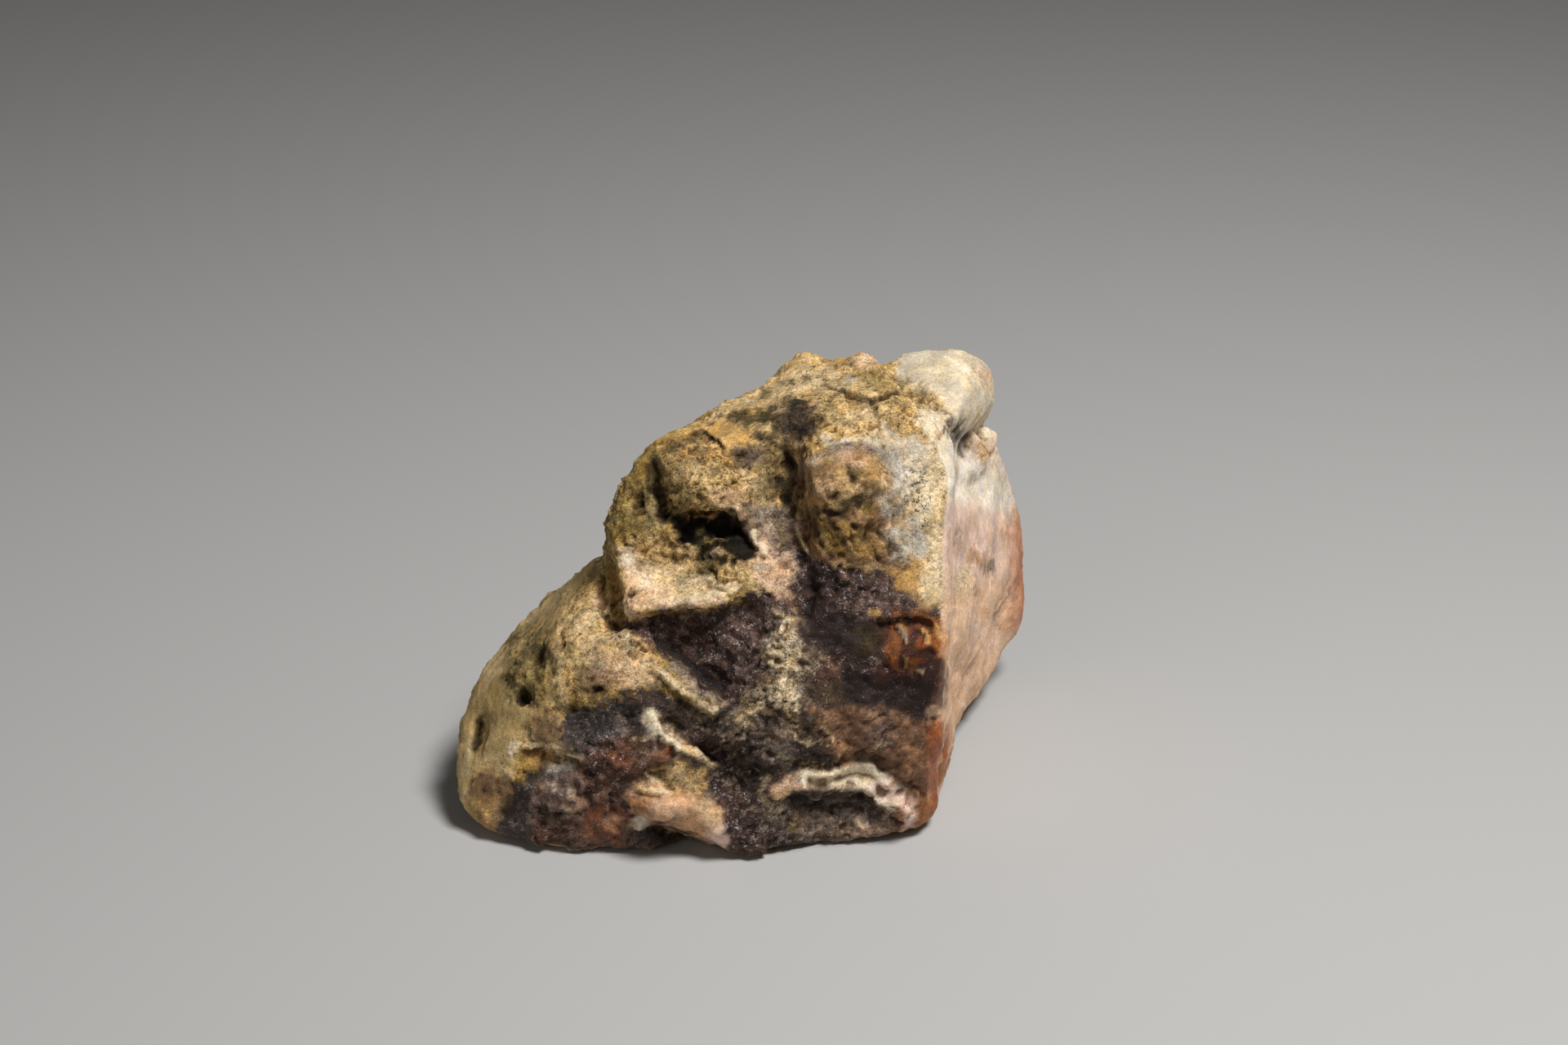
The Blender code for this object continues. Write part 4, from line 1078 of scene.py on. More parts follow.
# %% Streaks of the shelf and cavity: path, width, mineral, strength
painter.fill(painter.streak, face, [
    ([(-10.5, 27.3), (-8, 27.4), (-5, 27.5), (-2.8, 27.9)], 0.4, "pink_cream", 0.6),
    ([(-9.4, 26.5), (-7, 26.8), (-4.5, 26.7), (-2.4, 27)], 0.3, "red_brown", 0.75),
    ([(-0.8, 37), (0.2, 36), (1, 34.8), (1.7, 33.4), (2, 32.7)], 0.8, "pink_cream", 1.0),
    # The tooth is pink-white; this chalk on it is also painted light, since it sits in shade.
    ([(0, 36.2), (0.8, 35), (1.7, 33.4)], 0.5, "chalk", 0.9),
    ([(-0.9, 36.4), (-0.3, 35.2), (0.7, 34)], 0.25, "red_brown", 0.8),
    # black in the cavity's slot: painted shade
    (FURROWS["cavity_slot"][0], 0.5, "night", 0.9),
    ([(5.3, 36.2), (5.7, 34.9), (6.2, 33.8), (7, 32.3)], 0.25, "cream", 0.8),
    ([(3, 37.4), (3.6, 35.4), (4.4, 33.6)], 0.35, "dark_olive", 0.55),
])


# %% [markdown]
# ## The left lobe
# The lobe's outer flank is smooth golden rind. Its top is tan and pinkish crumb, and below it the fresh
# silica shows: a waxy purple band, red-brown bumps, and a peach lobe along the foot. Their edges are softer
# than the rind's, because wax-like silica shades from one colour into the next.

# %% Areas of the left lobe: outline, mineral, strength, softness
painter.fill(painter.area, face, [
    ([(-34, 1), (-34.5, 12), (-31, 21), (-26, 27), (-19, 32.5), (-16, 32), (-16.2, 28.6), (-19.5, 25.6),
      (-21.6, 20), (-21.6, 16.4), (-25.4, 11.6), (-27.5, 7.4), (-30, 5), (-31, 0)],
     "smooth_rind", 0.95, 0.7),
    ([(-33.4, 3), (-33.6, 11), (-31.4, 12), (-30, 9), (-31, 4)], "smooth_tan", 0.8, 0.6),
    ([(-31, 20), (-26, 26.4), (-20, 31), (-19.6, 28.8), (-25, 23), (-29, 18)], "smooth_tan", 0.7, 0.7),
    ([(-27.5, 24), (-22.6, 26.2), (-21.8, 19), (-24, 15.4), (-26.4, 16.6)], "olive", 0.7, 0.8),
    ([(-20.6, 28.6), (-16.4, 29.8), (-15.4, 25.7), (-12.8, 24.3), (-9.4, 21.9), (-9.1, 19),
      (-12.5, 17.4), (-16, 17.2), (-21, 17), (-22.2, 20.5)],
     "tan", 1.0, 0.6),
    ([(-19.6, 25.4), (-16.4, 26.4), (-14, 22.4), (-17.6, 20.4), (-21, 21)], "cream", 0.35, 0.9),
    ([(-17.4, 21.6), (-12, 22), (-9.6, 20), (-12.4, 18), (-17, 18.4)], "pink_cream", 0.75, 0.9),
    ([(-15.6, 24.4), (-12.2, 24), (-10.8, 22), (-13.6, 21.2)], "moss_crumb", 0.7, 0.5),
    ([(-19.4, 20.4), (-16, 20.4), (-14.8, 18), (-18.4, 17)], "red_brown", 0.55, 0.7),
    ([(-21.4, 17.6), (-15.4, 18), (-14.8, 15.9), (-20.4, 14.9)], "gold", 0.7, 0.6),
    ([(-24.6, 14.8), (-20.4, 14.6), (-20, 12), (-23.6, 11.8)], "wax_brown", 0.7, 0.6),
    ([(-21, 14.6), (-15, 16.8), (-9, 17.6), (-4, 14.8), (-4, 9.6), (-1, 4), (-2, -1), (-14, -1),
      (-28, -1), (-27.4, 4),
      (-24, 8.4), (-19.6, 10.4)],
     "grey_plum", 1.0, 0.5),
    ([(-20.4, 15), (-17, 16.7), (-12, 16.3), (-10.4, 14.8), (-10, 13.2), (-12.8, 12), (-17, 11.5),
      (-19.8, 10.5), (-20.9, 12.4)],
     "purple_wax", 1.0, 0.5),
    ([(-19.7, 10.7), (-16.5, 11.9), (-12.5, 12.3), (-9.8, 13), (-8.1, 12), (-8.5, 9.3), (-11.3, 8.6),
      (-13, 6.8), (-14.4, 4.8), (-19, 4.9), (-18.5, 8)],
     "red_brown", 1.0, 0.5),
    ([(-29.4, 10.8), (-24.6, 12.2), (-23.8, 7.6), (-27, 6.4), (-30.4, 8)], "tan", 0.8, 0.6),
    ([(-26.5, 8.6), (-25.6, 10.7), (-23, 11.7), (-20.5, 10.5), (-21.4, 9), (-23.6, 7.6),
      (-25.6, 6.8)], "gold", 0.95, 0.4),
    ([(-31.4, 6), (-30, 8.7), (-26.5, 8.3), (-25.7, 6.4), (-28.5, 5.3)], "wax_brown", 0.8, 0.6),
    ([(-28.8, 1.6), (-26.3, 6.4), (-22, 9.7), (-19.8, 10.4), (-19.2, 8.6), (-22.6, 6.5), (-24, 4),
      (-25, 1)],
     "purple_wax", 1.0, 0.5),
    ([(-23.6, 5.4), (-21.5, 8.1), (-18.6, 8.1), (-18, 5.3), (-19.5, 3.6), (-22.6, 3.6)], "mauve", 0.9, 0.5),
    ([(-24.8, 3.8), (-22, 4), (-19.4, 3.6), (-20, 0.4), (-24, 0)], "red_brown", 0.8, 0.6),
    ([(-31.6, 1.4), (-30.8, 5.2), (-28.6, 5.6), (-27.8, 3), (-28.4, 1)], "yellow", 0.55, 0.5),
    ([(-19, 4.9), (-14, 5.1), (-13.1, 3.5), (-14.4, 0.8), (-18.6, 0.8)], "brick", 0.5, 0.9),
    ([(-10.6, 8.9), (-8, 9.8), (-4.4, 9.3), (-3.9, 7), (-6, 5.8), (-9.7, 6)], "tan", 0.75, 0.5),
    ([(-13.7, 5.9), (-12, 7.3), (-9, 6.7), (-5, 6.9), (-3.7, 5.2), (-0.2, 1.4), (-2.4, -0.6), (-6, 1.4),
      (-9.5, 2.8), (-12.9, 3.7)],
     "peach", 1.0, 0.7),
    ([(-7, 6.6), (-3.6, 5.4), (-0.4, 1.8), (-2.4, 0.6), (-5, 3.6)], "cream", 0.5, 0.9),
    ([(-7, 11.6), (-4, 10), (-1, 6.4), (3, 5.7), (4, 1), (0.6, 0), (-0.2, 2.6), (-2.8, 6),
      (-4.2, 9.2)], "charcoal", 0.9, 0.5),
    ([(-14.6, 17.4), (-9, 18), (-6.5, 16.1), (-4, 14.6), (-3.8, 11.8), (-7.5, 12.6), (-9.5, 14.9),
      (-14, 15.8)],
     "charcoal", 0.95, 0.5),
    ([(-9.8, 22.4), (-9.3, 19.9), (-5.5, 16.4), (-2.5, 15.5), (-2.1, 16.4),
      (-5.5, 19.4)], "grey_lilac", 0.8, 0.35),
])

# %% Spots of the left lobe: place, size, mineral, strength
painter.fill(painter.dab, face, [
    ((-18.4, 25.6), (1.4, 0.9), "cream", 0.6),
    ((-17.4, 23.4), (0.8, 0.6), "cream", 0.5),
    ((-16.4, 27.8), (0.9, 0.6), "pink_cream", 0.8),
    ((-19.6, 22.2), (0.9, 1.2), "gold", 0.5),
    ((-21, 18.8), (0.9, 1.6), "cream", 0.4),
    ((-12.2, 19.6), (1.2, 0.9), "cream", 0.5),
    ((-14.6, 20.6), (1.6, 0.8), "cream", 0.4),
    ((-10.4, 18.6), (1.0, 0.5), "grey_plum", 0.5),
    # The next two spots lie in the flank hollow and the flank hole: painted shade.
    ((-23.2, 22), (0.8, 1.2), "dark_olive", 0.85),
    ((-24.9, 17), (0.8, 1.0), "night", 0.8),
    ((-26.4, 20), (1.0, 1.4), "dark_olive", 0.5),
    # black in the rind pit: painted shade
    ((-16.7, 17.5), (0.7, 0.6), "night", 0.8),
    ((-19.8, 16), (1.0, 0.7), "dark_olive", 0.6),
    ((-26.2, 11.4), (0.9, 0.8), "chalk", 0.75),
    ((-28.6, 9.8), (0.8, 0.9), "cream", 0.5),
    ((-24.6, 13.2), (0.9, 0.7), "olive", 0.5),
    ((-23.4, 9.8), (0.9, 1.0), "orange_chip", 0.4),
    ((-21.6, 9.6), (1.0, 0.6), "blue_grey", 0.6),
    ((-21.6, 6.7), (0.5, 0.5), "chalk", 0.55),
    ((-19.8, 5.9), (0.4, 0.5), "chalk", 0.6),
    ((-20.7, 4.6), (0.4, 0.4), "chalk", 0.4),
    ((-26, 5), (1.8, 1.5), "deep_plum", 0.85),
    ((-27.4, 3.6), (1.0, 1.2), "deep_plum", 0.5),
    ((-20.6, 9.2), (1.6, 1.0), "blue_grey", 0.95),
    ((-23.2, 10.3), (1.8, 1.0), "yellow", 0.6),
    ((-28, 9.4), (1.6, 1.2), "smooth_tan", 0.7),
    ((-19.5, 5.2), (1.2, 0.9), "pink_cream", 0.5),
    ((-22.6, 7), (0.9, 0.6), "pink_cream", 0.35),
    ((-29.2, 3.2), (0.7, 1.0), "orange_chip", 0.45),
    ((-28.4, 1.4), (1.4, 0.7), "deep_plum", 0.6),
    ((-9.9, 10.9), (1.8, 1.3), "wax_brown", 0.7),
    ((-8.7, 11.2), (0.35, 0.35), "brick", 0.7),
    ((-13.6, 10.4), (1.6, 1.2), "brick", 0.3),
    ((-16.6, 8.4), (1.4, 1.2), "deep_plum", 0.4),
    ((-12.2, 5.4), (0.9, 1.0), "orange_chip", 0.5),
    ((-8.6, 4.8), (2.0, 1.0), "side_peach", 0.5),
    ((-3, 1.6), (2.2, 1.3), "side_pink", 0.8),
    ((-12.2, 2.9), (1.1, 0.9), "pink_cream", 1.0),
    ((-12.2, 3.2), (0.9, 0.8), "side_white", 0.9),
    ((-15, 3), (0.9, 1.0), "peach", 0.4),
    ((-18.2, 2), (0.8, 0.8), "peach", 0.35),
    # black under the peach lobe: painted shade
    ((-8.6, 1.6), (2.6, 0.8), "night", 0.8),
    ((-7, 8), (1.4, 0.8), "cream", 0.4),
    ((-5.8, 14.6), (1.2, 0.6), "moss_crumb", 0.5),
])

# %% Streaks of the left lobe: path, width, mineral, strength
painter.fill(painter.streak, face, [
    ([(-11.5, 20.7), (-8.9, 19.1), (-6.5, 17), (-5, 15.9), (-2.9, 15.3)], 0.5, "cream", 0.9),
    ([(-12.3, 24.3), (-9.3, 22.6), (-6.5, 20), (-4, 17.8), (-2.2, 16.2)], 0.22, "cream", 0.8),
    ([(-10.9, 15), (-10.2, 14.2), (-9.8, 13.4), (-9, 12.6)], 0.7, "chalk", 1.0),
    ([(-9.9, 13.2), (-9.2, 13)], 1.0, "chalk", 0.9),
    ([(-9.6, 13), (-8.5, 12.4), (-7.5, 11.7), (-6.4, 11.1)], 0.6, "chalk", 1.0),
    ([(-7, 11.3), (-5.5, 10.6), (-3.8, 9.6)], 0.45, "cream", 1.0),
    ([(-13, 12.2), (-11.6, 12.3), (-10.2, 13)], 0.22, "cream", 0.7),
    ([(-24.8, 11.4), (-23, 11.8), (-21.2, 11.3), (-20.2, 10.5), (-18.5, 10.3)], 0.3, "cream", 0.85),
    ([(-22.6, 11), (-23, 9.4), (-23.8, 8)], 0.25, "dark_olive", 0.5),
    ([(-11.3, 8.6), (-10, 7.6), (-8.8, 6.4)], 0.25, "cream", 0.6),
    ([(-12.7, 7.3), (-11.5, 6.7), (-9.3, 6.4)], 0.28, "cream", 0.75),
    # black in the flank slot: painted shade
    ([(-29.9, 14.4), (-30.2, 12.9), (-30.3, 11.4)], 0.55, "night", 0.85),
    ([(-21.5, 15.9), (-20, 15.5), (-18.5, 15.9)], 0.35, "dark_olive", 0.7),
    # black in the crevice under the ledge: painted shade
    (FURROWS["crumb_crevice"][0], 0.4, "night", 0.85),
    ([(-17, 28.6), (-16.4, 27.6), (-15.8, 26.8)], 0.25, "cream", 0.7),
])


# %% [markdown]
# ## The fracture
# The middle is one big scar, plum-brown and sugary, crossed by a crumbly cream vein. The right of it is dark
# glassy plum, with orange where thin chips let light through, and smooth brown below with a brick-red edge.
# Light that passes through the chips could be traced, but it costs much time for so little, so it is painted.

# %% Areas of the fracture: outline, mineral, strength, softness
painter.fill(painter.area, face, [
    ([(-13.4, 25.2), (-8, 26.5), (-3, 27), (1.5, 28.6), (4.6, 27), (6.2, 33.4), (9, 31.4), (15, 31),
      (20.4, 27.6),
      (22.4, 26), (22.6, 0), (10, -1), (-1.6, -1), (-3.6, 6), (-4, 9.6), (-7, 12.2), (-3, 15.6), (-9, 22)],
     "plum", 1.0, 0.5),
    ([(-14, 25.4), (-8, 26.5), (-3, 27), (1.5, 28.6), (4.6, 26.8), (4, 24.5), (2.5, 21), (0.6, 17.6),
      (-2, 16.2), (-5.5, 19.5), (-9, 22.5), (-12.3, 24.2)],
     "plum", 1.0, 0.4),
    ([(-12, 25.4), (-6, 26.4), (-3.4, 24), (-5, 20.6), (-8.6, 23), (-11.6, 24.6)], "red_brown", 0.35, 0.7),
    ([(-7, 21.8), (-3, 20.4), (0, 18.4), (-1.6, 16.8), (-4.6, 18.8)], "deep_plum", 0.65, 0.6),
    ([(-1, 27.6), (3.4, 27.4), (3.2, 24.4), (0, 24.8)], "grey_plum", 0.3, 0.8),
    ([(-4, 14.8), (0, 17.4), (4, 18.2), (8.4, 16.6), (10.4, 12), (10, 8.4), (4, 7.8), (2, 5.8),
      (-1, 6.6), (-4, 9.8)],
     "charcoal", 1.0, 0.6),
    # deep plum in the dark valley: partly its colour, partly painted shade
    ([(6.6, 33.2), (8, 31), (10.4, 31.2), (9.6, 26.5), (8.2, 22.8), (6.4, 23.4), (5.4, 26), (6.8, 29)],
     "deep_plum", 0.85, 0.7),
    ([(8.4, 31.2), (14.4, 31.3), (19.8, 28.2), (20.8, 26.6), (19.6, 25.7), (14, 25.4), (11, 24), (9, 26)],
     "plum", 1.0, 0.6),
    ([(14, 30.6), (19.6, 28), (20.6, 26.6), (17, 26.4), (14, 28)], "mauve", 0.6, 0.7),
    ([(8.6, 26.4), (14.6, 25.8), (15.3, 22), (12.4, 20.8), (9, 21.8), (8, 24)], "deep_plum", 0.95, 0.7),
    ([(12, 25.4), (14.8, 25.6), (15, 22.4), (12.6, 22)], "dark_olive", 0.6, 0.7),
    ([(0.6, 14), (5.4, 14), (6, 10.4), (2, 10)], "grey_lilac", 0.55, 0.9),
    ([(2.8, 26.6), (5.4, 25.2), (7.9, 21.5), (7.2, 19.5), (5.4, 18), (5, 14), (3.8, 14), (3.2, 17.4),
      (1, 15.6), (-1, 13.6), (-2, 15), (1.2, 18.6), (2.6, 21.5)],
     "moss_crumb", 0.5, 0.9),
    ([(4, 25.8), (5.5, 23.8), (6.2, 22.4), (5.7, 20.1), (4.7, 18.3), (5.6, 17.2), (4.4, 14.8),
      (3.6, 15.8), (1.4, 16),
      (1, 17), (2.3, 17.9), (3.2, 19.4), (2.2, 21.7), (3, 23.6)], "vein_crumb", 0.9, 0.6),
    ([(7.2, 21.6), (11.4, 20.4), (12.6, 17.4), (9, 16.3), (6.8, 18.4)], "wax_brown", 0.4, 0.9),
    ([(7.6, 19.2), (12, 18.8), (13, 15.6), (9, 14.8), (7.4, 16)], "dark_olive", 0.55, 0.8),
    ([(6.4, 16.2), (13, 15.8), (20.4, 14.9), (20.6, 3), (17.8, 2.2), (18.7, 5.2), (15.5, 7.3),
      (13.7, 9.6), (10, 8.8), (9.2, 12)],
     "wax_brown", 1.0, 0.6),
    ([(12.6, 14.6), (16.6, 14.4), (16.6, 12), (13, 11.6)], "mauve", 0.5, 0.8),
    ([(10.6, 21), (15.5, 19.9), (18.5, 19.7), (21.4, 21), (21.6, 15.6), (20.2, 14.7), (17, 14.8),
      (13, 15.6), (10.8, 17)],
     "deep_plum", 0.95, 1.0),
    ([(14.8, 25.7), (17, 26.3), (20, 26.2), (22.4, 24.4), (22, 21), (18.5, 19.5), (15.5, 19.7),
      (14.9, 22.5)],
     "maroon", 1.0, 1.3),
    ([(3.2, 6.2), (5, 7.2), (11, 7.6), (13.3, 8.2), (15.2, 5.9), (17, 4.8), (17.4, 0.6), (10, 0), (3, 0.4)],
     "charcoal", 0.85, 0.4),
    ([(5, 4.4), (9, 4.8), (15, 5), (16, 1), (10, 0.6), (5, 1)], "mauve", 0.5, 0.8),
    # deep plum just under the arc's ridge: its dark silica, darkened further as painted shade
    ([(4.6, 5.4), (5.4, 7.4), (11, 7.5), (13.4, 7.4), (13.8, 5.6), (9, 5)], "deep_plum", 0.75, 0.5),
])

# %% Spots of the fracture: place, size, mineral, strength
painter.fill(painter.dab, face, [
    ((2.2, 17), (1.2, 1.2), "moss_crumb", 0.6),
    ((5, 17), (0.9, 1.4), "chalk", 0.4),
    ((4.4, 24.4), (0.9, 1.0), "moss_crumb", 0.6),
    ((5.8, 22.2), (0.9, 0.8), "moss_crumb", 0.6),
    ((14.2, 26.4), (0.6, 0.5), "yellow", 0.6),
    ((17, 24.4), (0.8, 1.3), "orange_chip", 0.6),
    ((17.3, 24.6), (0.3, 0.8), "orange_plate", 0.4),
    ((19.6, 23), (0.9, 0.7), "brick", 0.7),
    ((18.8, 20.9), (0.9, 0.5), "orange_chip", 0.5),
    ((16.4, 21.4), (0.6, 0.8), "orange_chip", 0.4),
    ((13.6, 17.6), (0.9, 0.6), "purple_wax", 0.4),
    ((17.2, 17.4), (0.7, 0.7), "purple_wax", 0.3),
    ((14.8, 12.8), (1.2, 0.8), "mauve", 0.5),
    ((20.8, 14), (0.7, 0.9), "pink_cream", 0.9),
    ((20.9, 17.6), (0.4, 0.5), "pink_cream", 0.7),
    ((21, 16), (0.4, 0.5), "mauve", 0.8),
    ((15.8, 3), (1.2, 1.2), "pink_cream", 0.4),
    ((18.2, 3.2), (0.9, 0.9), "peach", 0.5),
    ((12.6, 3.2), (1.6, 1.0), "mauve", 0.9),
    ((12.6, 3.4), (0.8, 0.6), "chalk", 0.5),
    ((10.2, 3.6), (0.4, 0.4), "chalk", 0.5),
    ((8.6, 3.6), (1.4, 0.8), "grey_lilac", 0.6),
    ((13.6, 2.4), (1.7, 1.0), "pink_cream", 0.5),
    ((5.4, 2.6), (1.1, 1.2), "olive", 0.5),
    ((10.6, 1.6), (1.7, 0.6), "moss_crumb", 0.45),
    ((3.2, 4.4), (0.9, 1.6), "moss_crumb", 0.5),
    # black in three pits of the veined zone: painted shade
    ((0.6, 8.6), (1.2, 1.0), "night", 0.7),
    ((-1.6, 10.4), (1.0, 0.8), "night", 0.6),
    ((2, 12.6), (0.8, 1.0), "night", 0.5),
    ((6.2, 13), (0.8, 1.6), "dark_olive", 0.4),
])

# %% Streaks of the fracture: path, width, mineral, strength
painter.fill(painter.streak, face, [
    ([(3.2, 6.5), (5, 7.6), (8, 7.9), (11.3, 8.1)], 0.8, "pink_cream", 1.0),
    ([(6.6, 8), (9.4, 8.1), (11.6, 8.2), (13.2, 8.6)], 0.95, "chalk", 1.0),
    ([(12.2, 8.4), (13.4, 8.2), (14.2, 7.5), (15.2, 6.5), (16, 6)], 1.35, "chalk", 1.0),
    ([(14.8, 6.8), (15.8, 6.3), (16.8, 5.8)], 1.0, "side_pink", 0.9),
    ([(16.2, 6), (17.2, 5.6), (17.9, 4.8), (18.2, 3.8), (17.8, 2.4)], 0.8, "side_pink", 0.95),
    ([(16.6, 4.5), (17, 3.8), (17, 2.8)], 0.4, "brick", 0.85),
    # deep plum along the strip under the step: painted shade
    ([(-3.4, 17.8), (-5.2, 19.4), (-7.6, 21.4), (-9.6, 22.9)], 0.8, "deep_plum", 0.9),
    ([(4.3, 25.7), (2.9, 23.8), (1.4, 21.7)], 0.25, "chalk", 0.6),
    ([(-1.2, 14.4), (0.4, 15.4), (1.6, 16.4)], 0.3, "cream", 0.7),
    ([(-2.4, 12.6), (-1, 13.6), (0.8, 14.8)], 0.25, "moss_crumb", 0.7),
    ([(4.4, 20), (4.2, 17), (4.6, 14)], 0.35, "moss_crumb", 0.7),
    ([(8.4, 13.8), (9.4, 12.4)], 0.22, "cream", 0.7),
    ([(5.3, 13), (6.8, 11.6)], 0.22, "cream", 0.8),
    ([(14.2, 11.6), (16, 12)], 0.16, "cream", 0.8),
    ([(3, 10.8), (5.4, 9.6), (8, 9)], 0.4, "moss_crumb", 0.6),
    ([(2.2, 8.2), (1.4, 6.4), (2.4, 4.6)], 0.35, "moss_crumb", 0.5),
    ([(16.6, 26), (16.8, 24.8), (17.3, 23.4)], 0.8, "orange_chip", 0.55),
    ([(19, 26), (20, 25), (20.8, 23.8), (21.5, 22.6)], 0.9, "orange_chip", 0.6),
    ([(16, 22.6), (16.4, 21.4)], 0.8, "orange_chip", 0.5),
    ([(16.8, 25), (17.4, 24.2), (17.7, 23.2)], 0.16, "chalk", 0.7),
    ([(15.5, 21.8), (15.8, 21.2), (15.9, 20.4)], 0.14, "orange_chip", 0.9),
    ([(17.4, 21.6), (17.7, 21.1), (17.6, 20.5)], 0.14, "orange_plate", 0.7),
    ([(18.8, 20), (19.3, 19.7)], 0.16, "cream", 0.7),
    ([(19.4, 24.6), (19.9, 23.9), (20, 23)], 0.2, "orange_plate", 0.6),
    ([(14, 25.5), (15.5, 26), (17, 25.9), (18.5, 26), (20, 25.6)], 0.2, "red_brown", 0.6),
    ([(21.2, 24.6), (21.7, 23), (21.3, 21.6)], 0.3, "pink_cream", 0.5),
    ([(20.4, 15), (20.7, 13.4), (20.8, 11)], 0.25, "pink_cream", 0.5),
])

# %% [markdown]
# ## The right side and its rim
# The right side is smooth and out of the light: white at the top, pink in the middle and peach below, with no
# sharp line between them. The edges are very soft here, two millimetres wide. The rim where it meets the
# break is thin; its orange and brick-red are its own colour and a painted glow of light let through it, and
# its streaks lie over both sides.

# %% Areas of the right side: outline, mineral, strength, softness
painter.fill(painter.area, side, [
    ([(22.6, 44), (28.8, 43.4), (30.5, 39), (28.8, 36.6), (24.4, 36.8),
      (21.4, 39.5)], "side_white", 1.0, 1.8),
    ([(20.6, 38.6), (26, 37.6), (28, 34), (27, 29.6), (20.6, 29.4)], "side_pink", 1.0, 1.8),
    ([(20.6, 29.4), (28.4, 29), (29.4, 24), (27, 19), (22, 12), (20.6, 14)], "side_peach", 1.0, 1.8),
    ([(21, 36), (28, 37), (30, 30), (30.4, 22), (27, 15), (22, 12)], "side_peach", 0.6, 2.0),
    ([(20.6, 38.6), (27, 37.6), (29.4, 34), (29, 29.6), (22, 30)], "side_pink", 0.7, 1.8),
    ([(29.8, 36), (31.6, 35), (33, 28), (31, 23), (29.8, 26), (30, 31)], "red_rim", 0.75, 1.2),
])

# %% Spots of the right side: place, size, mineral, strength
painter.fill(painter.dab, side, [
    # painted shade: purple-grey in the notch beside the slab
    ((23.9, 45.6), (0.9, 1.8), "purple_wax", 0.6),
    ((25.8, 44), (1.0, 0.9), "yellow", 0.6),
    ((23.8, 30), (1.4, 1.6), "cream", 0.8),
    ((25.2, 32.4), (1.0, 1.0), "peach", 0.8),
    ((26.6, 31.4), (0.7, 0.7), "grey_lilac", 0.8),
    ((23.4, 34.6), (1.2, 1.6), "mauve", 0.3),
    ((25.6, 24), (2.0, 2.4), "side_pink", 0.5),
])

# %% Streaks of the rim: path, width, mineral, strength
painter.fill(painter.streak, seen, [
    ([(21.2, 25.2), (21.6, 23.4), (21.4, 21.6)], 0.7, "orange_chip", 0.6),
    ([(20.9, 24.8), (21.5, 23.6)], 0.4, "orange_plate", 0.5),
    ([(21.3, 20.6), (21.4, 18), (21.1, 16.4)], 0.8, "maroon", 0.9),
    ([(20.7, 15.4), (20.8, 14), (20.9, 12.6)], 0.8, "pink_cream", 0.85),
    ([(21, 13.2), (21.3, 10.8), (21.5, 8), (21.6, 5), (21.2, 2.8), (20.2, 1.4)], 1.4, "brick", 1.0),
    ([(20.8, 9), (20.9, 6), (20.8, 3.6)], 0.9, "brick", 0.5),
    ([(19.9, 4.4), (19.6, 2.8), (18.8, 1.8)], 1.1, "orange_chip", 0.6),
    ([(20.2, 1.6), (18.8, 0.9), (17.6, 0.8)], 1.0, "brick", 0.8),
    ([(21.6, 10), (21.9, 7), (21.9, 4)], 0.3, "orange_plate", 0.4),
    ([(20.6, 43.6), (21, 40), (20.8, 36), (20.6, 32)], 0.5, "cream", 0.8),
    ([(20.5, 31.4), (20.7, 30), (21, 28.4)], 0.9, "cream", 0.9),
    ([(17.4, 29.8), (18.8, 28.9), (20, 27.6)], 0.9, "yellow", 0.85),
    ([(19.4, 29), (20.2, 27.9)], 0.6, "cream", 0.8),
])

# %% [markdown]
# ## Frost and hair veins
# Late silica grew as a thin frost on the bumps, and as hair-thin pale veins through the dark parts. There are
# far too many to draw. Both follow noise: frost where it is high, veins along the lines where it passes
# through zero, which run on and branch as cracks do.

# %% Frost and veins: outline, mineral, strength
FROST_EDGE = 0.8
frost = ramp(waves(1.1, 41, 4), 0.1, 0.4)
veins = 1.0 - ramp(np.abs(waves(2.8, 42, 3)), 0.02, 0.10)


def dust(pattern, rows):
    """Coat each outline where the pattern is strong."""
    for outline, mineral, strength in rows:
        within = ramp(-outline_distance(outline), -FROST_EDGE, FROST_EDGE)
        painter.coat(strength * pattern * face * within, mineral)
    print(len(rows), "areas,", round(float(pattern.mean()), 2), "of the stone under the pattern")


dust(frost, [
    ([(-21, 13), (-9, 13.4), (-8, 9), (-13, 4), (-19, 1), (-24, 0), (-24, 6)], "mauve", 0.7),
    ([(-28, 1), (-24, 7), (-19, 9.6), (-18, 4), (-23, 3)], "mauve", 0.6),
    ([(-14, 25.4), (4, 27), (3, 21), (0, 19.6), (-9, 23)], "mauve", 0.6),
    ([(8, 31), (19.6, 28.4), (20, 26), (12, 25.4)], "mauve", 0.5),
    ([(6, 17), (20, 15), (20, 4), (14, 9.4), (9, 9)], "peach", 0.35),
    ([(4, 5), (16, 5), (16.6, 1), (3, 0.6)], "grey_lilac", 0.75),
    ([(-20, 15), (-12, 16.4), (-10, 13), (-20, 10.6)], "grey_lilac", 0.2),
])
dust(veins, [
    ([(-9, 17.6), (-2, 16), (7, 17), (10, 12), (8, 8.6), (2, 7), (2, 1), (-1, 3),
      (-4, 9)], "grey_lilac", 0.9),
    ([(3, 14), (9, 15), (12, 10), (6, 8.4)], "moss_crumb", 0.6),
    ([(4, 5), (16, 5), (16.6, 1), (3, 0.6)], "grey_lilac", 0.9),
    ([(-8.4, 9), (-12, 8.4), (-13, 6), (-9, 6)], "cream", 0.6),
    ([(0, 25), (3, 25), (2.4, 20), (-2, 18)], "grey_lilac", 0.35),
])

